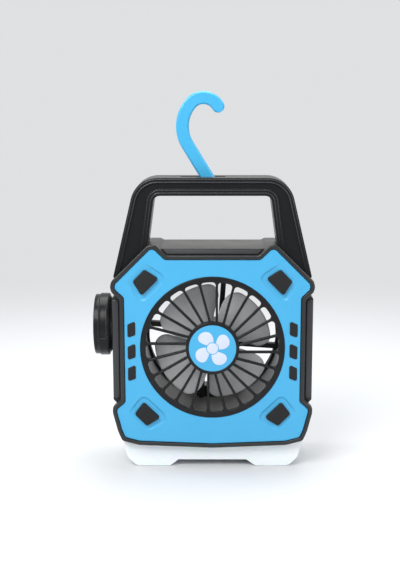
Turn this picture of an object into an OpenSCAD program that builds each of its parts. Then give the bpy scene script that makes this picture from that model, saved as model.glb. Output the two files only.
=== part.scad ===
// Portable camping fan: square body with corner ears, skewed-spoke grille, carrying handle,
// swinging hang-up hook, side torch and white lantern base. Millimetres.
// X = right as seen from the front, +Y = away from the viewer, +Z = up, floor at Z = 0.
// d = depth behind the front plane of the bumper frame; body_mid puts Y = 0 in the body's middle.

/* [Front frame] */
// how far the corner ears stand out beside the housing
ear_out = 3.6; // [1:0.1:6]
// how far the waists between the ears lie inside the housing's sides
waist_in = 5; // [3:0.1:6]
// how far the frame hangs below the lantern base's top
frame_hang = 4.7; // [3:0.1:6]
// how far the corner ears reach above the deck
ear_up = 4.4; // [3:0.1:6]
// how far the frame's top edge between the ears lies below the deck
notch_down = 5.3; // [4:0.1:7]
// depth of the frame
frame_depth = 8; // [7.4:0.1:9]
// width of the black rim round the panel
frame_rim = 3.7; // [2.4:0.1:4]
// corner radius of the frame
frame_round = 4; // [1:0.5:5]

/* [Front panel and pads] */
// panel thickness
panel_thick = 3.2; // [2.6:0.1:3.6]
// panel face behind the frame's front
panel_sink = 1.0; // [0.4:0.1:1.4]
// depth of the step round each corner pad
recess_deep = 0.5; // [0.3:0.1:0.8]
// width of the step round each corner pad
recess_wide = 5; // [3:0.5:5.5]
// how far the pads stand in front of the panel
pad_proud = 1.2; // [0.6:0.1:1.6]
// depth of a pad's pocket in the panel
pad_seat = 1.4; // [1:0.1:1.8]
// corner radius of the pads
pad_round = 2; // [0.5:0.5:3]
// gap from the grille to the side pads
side_pad_gap = 4.5; // [3:0.1:5]
// width of the side pads
side_pad_w = 7; // [5:0.1:8]
// height of the side pads
side_pad_h = 12; // [9:0.5:14]
// slant of the side pads across their width
side_pad_slant = 3; // [0:0.5:4]

/* [Grille] */
// how far the grille's edge lies inside the housing's sides
grille_in = 23.7; // [23:0.1:27]
// width of the grille's closed rim
grille_rim = 5; // [4:0.1:8]
// outer radius of the hub ring
hub_ring_r = 25; // [23.8:0.1:28]
// radius of the round badge
badge_r = 22.1; // [19:0.1:22.6]
// number of spokes
spokes = 24; // [16:1:30]
// width of a spoke
spoke_w = 2.3; // [1.6:0.1:2.8]
// how far each spoke's line passes beside the centre
spoke_skew = 4; // [0:0.1:6]
// radius of the cells' outer corners
cell_round = 3.6; // [1:0.1:4.2]
// width of the hidden flange that clamps the grille
flange_wide = 2.7; // [2:0.1:3.4]
// flange thickness
flange_thick = 2.2; // [1.8:0.1:2.6]
// badge thickness
badge_thick = 1.6; // [1.2:0.1:2]
// thickness of the raised fan symbol
symbol_thick = 0.4; // [0.2:0.1:0.8]
// reach of the symbol's blades
symbol_r = 18.2; // [14:0.1:19]
// radius of the symbol's centre disc
symbol_disc_r = 4.9; // [3:0.1:5.2]

/* [Housing] */
// depth from the frame's front to the back face
body_depth = 78; // [76:0.5:82]
// depth of the rear cover
cover_deep = 16; // [15:0.1:18]
// width of the rear face beside the battery door
door_side = 4.5; // [4:0.1:8]
// height of the deck above the air duct
deck_up = 25.4; // [24:0.1:30]
// height of the deck's end bumps
bump_up = 2.4; // [1.6:0.1:3]
// height from the top of the sides, where the shoulders start, to the deck
shoulder_down = 28.6; // [24:0.1:32]
// wall thickness
wall = 2.5; // [2:0.1:2.8]
// how far the side bars stand out
bar_out = 2.7; // [2:0.1:4]
// length of the side bars below the grille's centre
bar_down = 51.6; // [46:0.1:56]
// length of the side bars above the grille's centre
bar_up = 45.4; // [42:0.1:50]
// how much smaller the air duct's radius is than the grille's
duct_in = 2.8; // [2:0.1:4]
// how much smaller the rear vent's radius is than the duct's
vent_in = 1; // [0.4:0.1:4]
// height of the vent's straight lower edge above the buttons
vent_up = 8; // [7:0.1:10]
// how far the rear cover's sides slant in
rear_taper = 7; // [3:0.5:7.5]
// radius of the screw bosses
boss_r = 4.5; // [4:0.1:4.8]
// radius of the housing screws
screw_r = 1.5; // [1.2:0.05:1.7]
// radius of the housing screw heads
screw_head_r = 2.9; // [2.5:0.05:3.1]

/* [Impeller and motor] */
// gap between the impeller and the duct
fan_gap = 9; // [3:0.5:16]
// impeller hub radius
fan_hub_r = 19.5; // [18:0.1:21]
// length of the collar between impeller and motor
collar_long = 2; // [1.6:0.1:5]
// depth from a blade's front edge to its back edge
blade_span = 15; // [11:0.5:16]
// blade thickness
blade_thick = 1.7; // [1.2:0.1:2.2]
// number of blades
blades = 4; // [3:1:5]
// turn of the impeller at rest
fan_turn = -40; // [-90:1:90]
// angle one blade covers near the hub
blade_sweep = 84; // [60:1:86]
// motor shaft radius
shaft_r = 1.5; // [1.2:0.05:1.8]
// motor can radius
motor_r = 14; // [13:0.1:15]
// length of the motor can
motor_long = 22.5; // [21:0.1:24]
// running clearance of the shaft in its bushes
shaft_gap = 0.04; // [0.02:0.01:0.08]
// width of the four motor arms
arm_w = 5; // [3:0.1:6]
// how far each motor arm's line passes beside the centre
arm_skew = 7; // [0:0.5:9]

/* [Handle and hook] */
// height of the handle above the deck
handle_up = 65; // [60:0.5:75]
// height of the handle's bar
handle_bar = 16.3; // [15:0.1:18]
// half width of the grip opening under the bar
grip_half = 53.5; // [50:0.1:55]
// half width of the grip opening at the deck
grip_half_low = 60; // [59.6:0.1:60.6]
// how much wider the handle's outline is than the grip opening, each side
leg_wide = 16.6; // [15:0.1:20]
// outer corner radius of the handle
handle_round = 25; // [18:0.5:26]
// front to back thickness of the handle
handle_deep = 34; // [32:0.5:36]
// depth of the handle's sunk band
band_sink = 2; // [1:0.1:2.4]
// hook thickness
hook_thick = 7; // [5:0.1:7.4]
// width of the hook's band
hook_w = 11.8; // [9:0.1:12.4]
// radius of the hook's centre line over the branch
hook_r = 15.4; // [14:0.1:18]
// radius of its centre line down the back
back_r = 32; // [26:0.5:40]
// centre of the hook's arc left of the handle's middle
hook_x = 8.3; // [4:0.1:11]
// height of that centre above the handle
hook_up = 56.4; // [52:0.1:60]
// angle at which the hook's tip ends
hook_tip = 30; // [10:1:60]
// angle at which the arc passes into the back
hook_turn = 140; // [110:1:160]
// hook pin radius
pin_r = 2.5; // [2:0.05:2.8]
// running clearance of the hook on its pin
pin_gap = 0.05; // [0.02:0.01:0.09]
// how far the hook leans left of its place at rest, degrees
swing_left = 32; // [20:1:33]
// how far it leans right, degrees
swing_right = 63; // [30:1:65]
// side clearance of the hook in its slot
slot_gap = 0.3; // [0.2:0.05:0.5]

/* [Torch] */
// height of the torch axis above the grille's centre
torch_up = 16.4; // [8:0.1:20]
// radius of the torch head
torch_r = 29.6; // [27:0.1:30]
// radius of the torch neck
neck_r = 24; // [22:0.1:24]
// length of the neck
neck_long = 4; // [3.6:0.1:7]
// length of the head
head_long = 8.9; // [8.4:0.1:13]
// length of the bezel
bezel_long = 4.6; // [3.6:0.1:5]

/* [Lantern base] */
// top of the lantern base
base_high = 25; // [24.6:0.1:25.6]
// how far the base's top lies inside the housing's sides
base_in = 5; // [4.6:0.1:10]
// how much the base narrows towards the floor, each side
base_draft = 5.2; // [3:0.1:7]
// gap between the base and the front frame
base_gap = 0.4; // [0.1:0.1:1]
// how far the base's back lies in front of the rear face
base_back_in = 8; // [6:0.5:10]
// height of the arch between the feet
arch_high = 6.1; // [4:0.1:7]
// half width of the arch at the floor
arch_half = 40.7; // [30:0.1:46]
// slant of the arch's ends
arch_slant = 8.2; // [4:0.1:12]
// wall of the diffuser
base_wall = 2.2; // [1.8:0.1:2.6]

/* [Battery and controls] */
// cell radius
cell_radius = 9.2; // [9:0.05:9.3]
// cell length
cell_long = 65; // [64:0.1:65.4]
// length of the contact springs
spring_long = 3.3; // [2:0.1:5]
// width of the battery door's lip at its two ends
door_lip = 7.5; // [6:0.1:9]
// radius of the push buttons
button_r = 4.4; // [3.6:0.1:4.6]
// clearance of a button in its hole
button_gap = 0.08; // [0.04:0.01:0.1]
// how far a button stands out
button_out = 1.6; // [1.6:0.1:2.4]
// height of the buttons and the charging socket above the battery door
control_up = 6.4; // [6:0.1:8]
// distance of the buttons from the middle
button_x = 22; // [16:0.5:30]
// radius of the charging flap's pins
flap_pin_r = 0.6; // [0.5:0.05:0.7]

/* [Fits] */
// assembly clearance between fixed parts
fit = 0.06; // [0.02:0.01:0.1]

/* [Hidden] */
$fn = 96;
body_mid = 38;
black = [0.09, 0.09, 0.1];
blue = [0.1, 0.6, 0.9];
grey = [0.45, 0.46, 0.48];
steel = [0.7, 0.7, 0.72];
white = [0.95, 0.96, 0.97];
// widths: two cells end to end give the holder, its door and so the body
holder_half = cell_long + 1.2 + spring_long + 2;
door_in = holder_half + 0.5;
door_half = door_in + door_lip;
door_x = door_half - door_lip / 2;
body_half = door_half + door_side + rear_taper;
ear_half = body_half + ear_out;
waist_half = body_half - waist_in;
bar_half = body_half + bar_out;
base_half = body_half - base_in;
base_half_low = base_half - base_draft;
grille_r = body_half - grille_in;
cell_r = grille_r - grille_rim;
duct_r = grille_r - duct_in;
tube_r = duct_r + wall;
vent_r = duct_r - vent_in;
fan_r = duct_r - fan_gap;
flange_r = grille_r + flange_wide;
side_pad_x = grille_r + side_pad_gap;
// depths
seat_d = panel_sink + panel_thick;
flange_d = seat_d + flange_thick;
back_in = body_depth - wall;
plate_front = body_depth - 1.3;
part_d = body_depth - cover_deep;
mount_d = part_d - 2;
bar_end_d = part_d - 6;
motor_d = part_d - 1 - motor_long;
fan_d = motor_d - 10.5 - collar_long;
torch_d = (frame_depth + bar_end_d) / 2;
base_d = frame_depth + base_gap;
base_back_d = body_depth - base_back_in;
handle_d = frame_depth;
handle_mid = handle_d + handle_deep / 2;
handle_back = handle_d + handle_deep;
cell_back_d = back_in - 1.4 - cell_radius;
cell_front_d = cell_back_d - 2 * cell_radius - 1;
// heights: the battery bay carries the duct, and the duct the deck and the handle
bay_low = base_high + wall + 1.5;
cell_z = bay_low + 1.2 + cell_radius;
door_low = bay_low;
door_high = cell_z + cell_radius + 1;
control_z = door_high + control_up;
vent_low = control_z + vent_up;
grille_z = door_high + 1 + tube_r;
deck_high = grille_z + tube_r + deck_up;
bump_high = deck_high + bump_up;
side_high = deck_high - shoulder_down;
shoulder = body_half + side_high;
frame_low = base_high - frame_hang;
frame_high = deck_high + ear_up;
notch_high = deck_high - notch_down;
bar_low = grille_z - bar_down;
bar_top = grille_z + bar_up;
torch_z = grille_z + torch_up;
handle_top = deck_high + handle_up;
grip_top = handle_top - handle_bar;
handle_half = grip_half + leg_wide;
pin_z = (handle_top + grip_top) / 2;
hook_z = handle_top + hook_up;
bosses = [[body_half - 13, door_high + 4.4], [body_half - 19, deck_high - 40]];
frame_posts = [[body_half - 12, grille_z - 25.6], [body_half - 12, grille_z + 25.4]];
base_screw_x = base_half - 29.5;
base_screw_ds = [base_d + 13.6, part_d - 4];

// ---- outline helpers: lists of [x, z] points, counter-clockwise
function unit(v) = v / norm(v);
function at(p, i) = p[(i + len(p)) % len(p)];
// an arc of radius r in the corner b between a and c
function corner(a, b, c, r, n) =
  let (u = unit(a - b), v = unit(c - b), h = acos(max(-0.9999, min(0.9999, u * v))) / 2,
       t = min(r / tan(h), 0.45 * min(norm(a - b), norm(c - b))), q = t * tan(h),
       o = b + unit(u + v) * q / sin(h), s = b + u * t - o, e = b + v * t - o,
       a0 = atan2(s.y, s.x), turn = (atan2(e.y, e.x) - a0 + 540) % 360 - 180)
  h > 89 ? [b] : [for (i = [0:n]) o + q * [cos(a0 + turn * i / n), sin(a0 + turn * i / n)]];
function rounded(p, r, n = 3) =
  [for (i = [0:len(p) - 1]) each corner(at(p, i - 1), p[i], at(p, i + 1), r, n)];
// every side of the outline moved out by g
function grow(p, g) =
  [for (i = [0:len(p) - 1])
    let (e = unit(p[i] - at(p, i - 1)), f = unit(at(p, i + 1) - p[i]),
         m = [e.y, -e.x], n = [f.y, -f.x])
    p[i] + g * (m + n) / (1 + m * n)];
// a right half from bottom to top, completed with its mirror image
function whole(h) = concat(h,
  [for (i = [len(h) - 1:-1:0]) if (h[i].x > 0.001) [-h[i].x, h[i].y]]);

// ---- solid helpers
// a flat shape in X and Z made solid from depth d0 to depth d1
module slab(d0, d1) translate([0, d1 - body_mid, 0]) rotate([90, 0, 0]) linear_extrude(d1 - d0) children();
// a flat shape round the grille's centre
module round_slab(d0, d1) slab(d0, d1) translate([0, grille_z]) children();
module both() { children(); mirror([1, 0, 0]) children(); }
module block(x0, x1, d0, d1, z0, z1)
  translate([x0, d0 - body_mid, z0]) cube([x1 - x0, d1 - d0, z1 - z0]);
// a straight bar from radius r0 to r1, beside the centre by skew
module skew_bar(r0, r1, w, skew) translate([skew - w / 2, r0]) square([w, r1 - r0]);
// a cylinder along the torch axis, from t0 to t1 outward of the side bar
module torch_cyl(r, t0, t1) translate([-bar_half - t1, torch_d - body_mid, torch_z])
  rotate([0, 90, 0]) cylinder(r = r, h = t1 - t0);
// a screw whose head's outer face is at depth d, driven towards the front
module screw(x, z, d, r, head, long, up = 1.8) {
  slab(d - up, d) translate([x, z]) circle(head);
  slab(d - long, d - up) translate([x, z]) circle(r);
}
module cross(x, z, d, head) for (a = [0, 90])
  slab(d - 1, d + 1) translate([x, z]) rotate(45 + a) square([head * 1.2, head * 0.28], center = true);
module cross_screw(x, z, d, r, head, long, up = 1.8) difference() {
  screw(x, z, d, r, head, long, up);
  cross(x, z, d, head);
}

// ---- outlines
frame_pts = whole([[0, frame_low], [ear_half - 25, frame_low + 2.7], [ear_half - 9.1, frame_low + 7],
  [ear_half - 5.1, frame_low + 16.7], [ear_half - 0.6, frame_low + 34.3], [ear_half - 0.7, frame_low + 40],
  [waist_half, frame_low + 46.8], [waist_half, frame_high - 50.9], [ear_half - 1.2, frame_high - 44],
  [ear_half, frame_high - 39.4], [ear_half - 1, frame_high - 34.2], [ear_half - 35.3, frame_high],
  [ear_half - 42.4, frame_high], [ear_half - 52.3, notch_high], [0, notch_high]]);
function frame_outline(g) = rounded(grow(frame_pts, -g), frame_round);
function near(x, z, pts) = [for (p = pts) [x - p.x, z + p.y]];
upper_pad = near(ear_half, frame_high, [[32, -23], [44.6, -31.2], [29.2, -46.8], [21.3, -33.9]]);
lower_pad = near(ear_half, frame_low, [[30, 44.6], [45.1, 29.9], [32.8, 22.2], [21.6, 33.5]]);
side_pad_zs = [grille_z + 17.4, grille_z - 3.8, grille_z - 24.4];
function side_pad(z) = [[side_pad_x, z - side_pad_h / 2 + side_pad_slant / 2],
  [side_pad_x + side_pad_w, z - side_pad_h / 2 - side_pad_slant / 2],
  [side_pad_x + side_pad_w, z + side_pad_h / 2 - side_pad_slant / 2],
  [side_pad_x, z + side_pad_h / 2 + side_pad_slant / 2]];
// one open cell between two skewed spokes
function beside(a, c, r) = let (s = sqrt(r * r - c * c)) [s * cos(a) - c * sin(a), s * sin(a) + c * cos(a)];
cell_pts = let (a = 360 / spokes, c1 = spoke_w / 2 - spoke_skew, c2 = -spoke_w / 2 - spoke_skew,
    r0 = hub_ring_r - 1.5, m = (asin(c1 / cell_r) + a + asin(c2 / cell_r)) / 2)
  concat(corner(beside(0, c1, r0), beside(0, c1, cell_r), cell_r * [cos(m), sin(m)], cell_round, 4),
    [cell_r * [cos(m), sin(m)]],
    corner(cell_r * [cos(m), sin(m)], beside(a, c2, cell_r), beside(a, c2, r0), cell_round, 4),
    [beside(a, c2, r0), beside(0, c1, r0)]);
bump_x = shoulder - bump_high - 10;
body_pts = whole([[0, base_high], [body_half - 6.5, base_high], [body_half - 2.5, base_high + 5],
  [body_half, base_high + 27], [body_half, side_high], [shoulder - bump_high, bump_high],
  [bump_x, bump_high], [bump_x - bump_up, deck_high], [0, deck_high]]);
leg_low = side_high + 2.8;
function leg_x(z) = handle_half
  + (handle_top - z) * (body_half + 0.9 - handle_half) / (handle_top - leg_low);
grip_slope = (grip_half_low - grip_half) / (grip_top - deck_high);
function grip_x(z) = grip_half + (grip_top - z) * grip_slope;
leg_foot = shoulder + fit * 1.5;
foot_z = (leg_foot - grip_half - grip_top * grip_slope) / (1 - grip_slope);

// ---- front
module front_frame() color(black) difference() {
  slab(0, frame_depth) polygon(frame_outline(0));
  slab(-1, seat_d) polygon(frame_outline(frame_rim));
  round_slab(seat_d - 1, flange_d) circle(flange_r + fit);
  round_slab(0, frame_depth + 1) circle(duct_r);
  both() for (p = frame_posts) slab(frame_depth - 3, frame_depth + 1) translate(p) circle(screw_r + fit);
}

module front_panel() color(blue) difference() {
  slab(panel_sink, seat_d) polygon(frame_outline(frame_rim + fit));
  round_slab(0, frame_depth) circle(grille_r + fit);
  both() for (p = [upper_pad, lower_pad]) {
    slab(0, panel_sink + recess_deep) polygon(rounded(grow(p, recess_wide), 6));
    slab(0, panel_sink + pad_seat) polygon(rounded(grow(p, fit), pad_round));
  }
  both() for (z = side_pad_zs) slab(0, panel_sink + pad_seat)
    polygon(rounded(grow(side_pad(z), fit), pad_round / 2));
}

module corner_pads() color(black) both() for (p = [upper_pad, lower_pad])
  slab(panel_sink - pad_proud, panel_sink + pad_seat) polygon(rounded(p, pad_round));

module side_pads() color(black) both() for (z = side_pad_zs)
  slab(panel_sink - pad_proud * 0.6, panel_sink + pad_seat) polygon(rounded(side_pad(z), pad_round / 2));

module grille() color(black) {
  difference() {
    round_slab(panel_sink - 0.6, seat_d) circle(grille_r);
    for (k = [0:spokes - 1]) round_slab(-5, 10) rotate(k * 360 / spokes) polygon(cell_pts);
    round_slab(-5, 10) circle(hub_ring_r - 1);
  }
  round_slab(seat_d, flange_d) difference() { circle(flange_r); circle(cell_r + 0.8); }
  difference() {
    round_slab(panel_sink - 1.8, flange_d) circle(hub_ring_r);
    round_slab(-5, panel_sink - 1.8 + badge_thick) circle(badge_r + fit);
    round_slab(panel_sink + 1.4, flange_d + 1) circle(hub_ring_r - 2);
  }
}

module hub_badge() color(blue) difference() {
  round_slab(panel_sink - 1.8, panel_sink - 1.8 + badge_thick) circle(badge_r);
  round_slab(panel_sink - 3, panel_sink - 1.8 + symbol_thick / 2) symbol_shape(fit);
}

// generic function symbol for a fan: a disc and four rounded blades, each with a neck on one side
module symbol_shape(g) {
  circle(symbol_disc_r + g, $fn = 48);
  for (k = [0:3]) rotate(90 * k + 36) difference() {
    union() {
      translate([symbol_r * 0.63, 0]) circle(symbol_r * 0.37 + g, $fn = 48);
      polygon(grow([[0, -2.6], [symbol_r * 0.5, -symbol_r * 0.33], [symbol_r * 0.66, 0], [0, 1.4]], g));
    }
    circle(symbol_disc_r + 0.7 - g, $fn = 48);
  }
}
module badge_symbol() color(white)
  round_slab(panel_sink - 1.8 - symbol_thick / 2, panel_sink - 1.8 + symbol_thick / 2) symbol_shape(0);

// ---- housing
module mid_housing() color(black) difference() {
  union() {
    difference() {
      union() {
        slab(frame_depth, part_d) polygon(rounded(body_pts, 3, 2));
        both() slab(frame_depth, bar_end_d) polygon([[body_half - 1, bar_low - 3], [body_half, bar_low - 3],
          [bar_half, bar_low], [bar_half, bar_top], [body_half, bar_top + 3], [body_half - 1, bar_top + 3]]);
      }
      slab(frame_depth + wall, part_d + 1) polygon(rounded(grow(body_pts, -wall), 2, 2));
    }
    round_slab(frame_depth + wall, mount_d) circle(tube_r);
    both() for (p = bosses) slab(frame_depth + wall, part_d) translate(p) circle(boss_r);
    // rails under the battery holder
    both() block(40, 43, holder_d - 4.9, part_d, base_high + wall - 0.2, bay_low);
    // seats for the four leg screws
    both() for (d = leg_screw_ds) leg_line(d) translate([0, 0, -4.5]) cylinder(r = 5.2, h = 4.5 - wall / 2);
  }
  round_slab(0, part_d + 1) circle(duct_r);
  both() for (p = bosses) slab(part_d - 22, part_d + 1) translate(p) circle(screw_r + fit);
  both() for (p = frame_posts) slab(frame_depth - 1, frame_depth + wall + 1) translate(p) circle(screw_r + fit);
  both() for (d = leg_screw_ds) leg_line(d) translate([0, 0, -5]) cylinder(r = screw_r + fit, h = 8);
  // wire holes to the torch and the lantern
  torch_cyl(3, -5, 1);
  translate([0, wire_d - body_mid, base_high - 1]) cylinder(r = 3, h = 5);
  // four screws from below
  both() for (d = base_screw_ds) translate([base_screw_x, d - body_mid, base_high - 1])
    cylinder(r = screw_r + fit, h = 5);
}
// a screw line square to the sloping shoulder, at depth d: Z = 0 on the shoulder's face
module leg_line(d) translate([leg_screw_x, d - body_mid, shoulder - leg_screw_x]) rotate([0, 45, 0]) children();
// the middle of the leg's foot
leg_screw_x = (body_half + leg_foot - foot_z) / 2 + 1.1;
holder_d = cell_front_d - cell_radius - 1.4;
wire_d = base_d + 21.6;

// the rear cover's shape, each face moved in by g: crossed outlines give its slanting sides
module rear_shape(g, d0, d1) intersection() {
  slab(d0, d1) polygon(rounded(grow(body_pts, -g), 3 - g / 3, 2));
  translate([0, -body_mid, 0]) linear_extrude(far) polygon([[-body_half + g, d0 - 1],
    [body_half - g, d0 - 1], [body_half - g, part_d + 3], [body_half - rear_taper - g, body_depth],
    [body_half - rear_taper - g, body_depth + 1], [-body_half + rear_taper + g, body_depth + 1],
    [-body_half + rear_taper + g, body_depth], [-body_half + g, part_d + 3]]);
  translate([-far / 2, -body_mid, 0]) rotate([90, 0, 90]) linear_extrude(far) polygon([[d0 - 1, base_high + g],
    [part_d + 3, base_high + g], [body_depth, base_high + 2.2 + g], [body_depth + 1, base_high + 2.2 + g],
    [body_depth + 1, deck_high - 5 - g], [body_depth, deck_high - 5 - g], [part_d + 3, bump_high - g],
    [d0 - 1, bump_high - g]]);
}
// past every edge of the body, for cuts
far = 2 * handle_top;
module above(z) intersection() { children(); translate([-far / 2, z - grille_z]) square([far, far]); }
module rear_cover() color(black) difference() {
  union() {
    difference() {
      rear_shape(0, part_d, body_depth);
      rear_shape(wall, part_d - 1, back_in);
    }
    // duct wall, shelf over the battery bay and the bay's front wall
    round_slab(part_d + 0.2, back_in + 0.5) above(vent_low - 2) difference() { circle(tube_r); circle(duct_r); }
    intersection() {
      block(-duct_r, duct_r, part_d + 0.2, back_in + 0.5, vent_low - 2, vent_low);
      round_slab(part_d, body_depth) circle(duct_r + 0.5);
    }
    round_slab(part_d + 0.2, part_d + 2.2) difference() { circle(tube_r); above(vent_low - 1) circle(100); }
    both() for (p = bosses) slab(part_d, back_in + 0.5) translate(p) circle(boss_r);
    both() slab(part_d + 4, back_in + 0.5) translate([door_x, cell_z]) circle(3.4);
  }
  round_slab(part_d - 1, body_depth + 1) above(vent_low) circle(vent_r);
  both() for (p = bosses) {
    slab(part_d - 1, body_depth + 1) translate(p) circle(screw_r + fit);
    slab(body_depth - 3, body_depth + 1) translate(p) circle(screw_head_r + fit);
  }
  // battery opening with a step for its door
  block(-door_in, door_in, part_d + 5, body_depth + 1, door_low, door_high);
  block(-door_half - fit, door_half + fit, plate_front, body_depth + 1, door_low - fit, door_high + fit);
  both() slab(back_in - 6, body_depth) translate([door_x, cell_z]) circle(1.2 + fit);
  // buttons, charging socket and the flap's recess
  for (x = [-button_x, button_x]) slab(back_in - 1, body_depth + 1) translate([x, control_z])
    circle(button_r + button_gap);
  slab(back_in - 1, body_depth) polygon(rounded(socket_pts(fit), 1.5, 3));
  block(-flap_half - 0.15, flap_half + 0.15, plate_front - 0.1, body_depth + 1,
    flap_z - flap_pin_r - 0.15, flap_top + 0.15);
  translate([-flap_half - 1.3, flap_d - body_mid, flap_z]) rotate([0, 90, 0])
    cylinder(r = flap_pin_r + pin_gap, h = 2 * flap_half + 2.6, $fn = 24);
}
flap_half = 7.4;
flap_z = control_z - 3.4;
flap_top = control_z + 4;
flap_d = plate_front + 0.65;
function socket_pts(g) = grow([[-4.5, control_z - 1.65], [4.5, control_z - 1.65],
  [4.5, control_z + 1.65], [-4.5, control_z + 1.65]], g);

module frame_screws() color(steel) both() for (p = frame_posts)
  cross_screw(p.x, p.y, frame_depth + wall + 1.8, screw_r, screw_head_r, 6.6);
module housing_screws() color(steel) both() for (p = bosses)
  cross_screw(p.x, p.y, body_depth - 1.2, screw_r, screw_head_r, 30);

// ---- impeller and motor
// radius, angle and depth of a point on a blade: u across (0..1), row k from hub to tip
blade_rs = let (c = 13) [fan_hub_r - 1.2, fan_hub_r + 3, fan_hub_r + 9, fan_hub_r + 15,
  fan_r - c, fan_r - 9, fan_r - 5.6, fan_r - 3, fan_r - 1.2, fan_r - 0.3, fan_r];
function cut_in(r, c) = r <= fan_r - c ? 0 : c * (1 - sqrt(max(0, 1 - pow((r - fan_r + c) / c, 2))));
function blade_at(r, u) =
  let (half = blade_sweep / 2 - max(0, r - fan_r + 13) * 0.25,
       lead = half - cut_in(r, 13) / r * 57.3, trail = half - cut_in(r, 9) / r * 57.3,
       a = -trail + (lead + trail) * u, w = a / half, swept = a + 0.25 * (r - fan_hub_r))
  [r * sin(swept), blade_span / 2 * w - 2.2 * (1 - w * w), r * cos(swept)];
function quad(a, b, c, d) = [[a, b, c], [a, c, d]];
module blade() {
  nv = 14;
  nr = len(blade_rs);
  m = nr * (nv + 1);
  front = [for (r = blade_rs) for (j = [0:nv]) blade_at(r, j / nv) - [0, blade_thick / 2, 0]];
  back = [for (p = front) p + [0, blade_thick, 0]];
  function id(i, j) = i * (nv + 1) + j;
  polyhedron(points = concat(front, back), faces = concat(
    [for (i = [0:nr - 2]) for (j = [0:nv - 1])
      each quad(id(i, j), id(i + 1, j), id(i + 1, j + 1), id(i, j + 1))],
    [for (i = [0:nr - 2]) for (j = [0:nv - 1])
      each quad(m + id(i, j), m + id(i, j + 1), m + id(i + 1, j + 1), m + id(i + 1, j))],
    [for (i = [0:nr - 2])
      each concat(quad(id(i, 0), m + id(i, 0), m + id(i + 1, 0), id(i + 1, 0)),
        quad(id(i, nv), id(i + 1, nv), m + id(i + 1, nv), m + id(i, nv)))],
    [for (j = [0:nv - 1])
      each concat(quad(id(0, j), id(0, j + 1), m + id(0, j + 1), m + id(0, j)),
        quad(id(nr - 1, j), m + id(nr - 1, j), m + id(nr - 1, j + 1), id(nr - 1, j + 1)))]));
}
module impeller() color(grey) {
  translate([0, fan_d - body_mid, grille_z]) for (k = [0:blades - 1])
    rotate([0, fan_turn + k * 360 / blades, 0]) blade();
  difference() {
    round_slab(fan_d - 9, fan_d + 9) circle(fan_hub_r);
    round_slab(fan_d - 6.6, fan_d + 10) difference() { circle(fan_hub_r - 2.2); circle(4.6); }
    round_slab(fan_d - 7, fan_d + 10) circle(shaft_r + 0.01, $fn = 48);
  }
}
module motor_shaft() color(steel) round_slab(fan_d - 6.9, part_d + 3.5) circle(shaft_r, $fn = 48);
module shaft_collar() color(steel) round_slab(fan_d + 9.1, motor_d - 1.4) difference() {
  circle(4.2);
  circle(shaft_r + 0.01, $fn = 48);
}
module motor_rotor() color(steel) {
  round_slab(motor_d + 4.5, motor_d + 17.5) difference() {
    circle(motor_r - 3.7);
    for (k = [0:4]) rotate(72 * k) translate([5, -1]) square([6, 2]);
    circle(shaft_r + 0.01, $fn = 48);
  }
  round_slab(motor_d + 17.5, motor_d + 20.4) difference() { circle(3.2); circle(shaft_r + 0.01, $fn = 48); }
}
module motor_can() color(steel) difference() {
  union() {
    round_slab(motor_d, part_d - 1) circle(motor_r);
    round_slab(motor_d - 1, motor_d) circle(4.2);
  }
  round_slab(motor_d + 1.5, part_d) circle(motor_r - 1.4);
  round_slab(motor_d - 2, motor_d + 2) circle(3);
}
module motor_magnets() color(grey) round_slab(motor_d + 3.5, motor_d + 18.5) difference() {
  circle(motor_r - 1.4);
  circle(motor_r - 3.3);
  for (a = [0, 90]) rotate(a) square([1.5, 60], center = true);
}
module motor_end_cap() color(black) difference() {
  union() {
    round_slab(part_d - 2.4, part_d - 1) circle(motor_r - 1.4);
    round_slab(part_d - 1, part_d + 0.2) circle(motor_r);
    round_slab(part_d + 0.2, part_d + 1.5) circle(4.2);
  }
  round_slab(part_d - 3, part_d + 2) circle(3);
  for (a = [0, 180]) round_slab(part_d - 3, part_d + 2) rotate(a) translate([8, 0]) circle(1.1, $fn = 24);
}
module motor_bushes() color([0.75, 0.6, 0.3]) for (d = [motor_d - 1, part_d - 1.5])
  round_slab(d, d + 3) difference() { circle(3); circle(shaft_r + shaft_gap, $fn = 48); }
module motor_mount() color(black) difference() {
  union() {
    round_slab(mount_d, part_d + 0.2) difference() { circle(tube_r); circle(duct_r - 2.4); }
    round_slab(motor_d + 9, part_d + 2.4) circle(motor_r + 2.6);
    for (a = [0:90:270]) round_slab(mount_d - 5, part_d + 0.2) rotate(a - 4)
      skew_bar(8, duct_r - 1, arm_w, arm_skew);
  }
  round_slab(motor_d, part_d + 0.2) circle(motor_r + fit);
  round_slab(part_d, part_d + 3) circle(4.4);
  for (a = [0, 180]) round_slab(part_d, part_d + 3) rotate(a) translate([8, 0]) circle(1.1, $fn = 24);
}
module motor_screws() color(steel) for (s = [-1, 1])
  screw(8 * s, grille_z, part_d + 3.6, 1.05, 2, 5, 1.2);

// ---- handle and hook
module handle_shape() difference() {
  polygon(handle_outline);
  polygon(grip_outline);
}
// the outline is closed far below the feet, and cut along the two shoulders
handle_outline = concat(
  [[body_half, leg_foot - body_half], [leg_x(leg_low), leg_low]],
  corner([leg_x(leg_low), leg_low], [handle_half, handle_top], [-handle_half, handle_top], handle_round, 12),
  corner([handle_half, handle_top], [-handle_half, handle_top], [-leg_x(leg_low), leg_low], handle_round, 12),
  [[-leg_x(leg_low), leg_low], [-body_half, leg_foot - body_half], [-leg_foot + foot_z, foot_z],
   [leg_foot - foot_z, foot_z]]);
grip_outline = concat([[leg_foot - foot_z + 0.02, foot_z - 0.02]],
  corner([leg_foot - foot_z, foot_z], [grip_half, grip_top], [-grip_half, grip_top], 6, 5),
  corner([grip_half, grip_top], [-grip_half, grip_top], [-leg_foot + foot_z, foot_z], 6, 5),
  [[-leg_foot + foot_z - 0.02, foot_z - 0.02]]);
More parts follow.
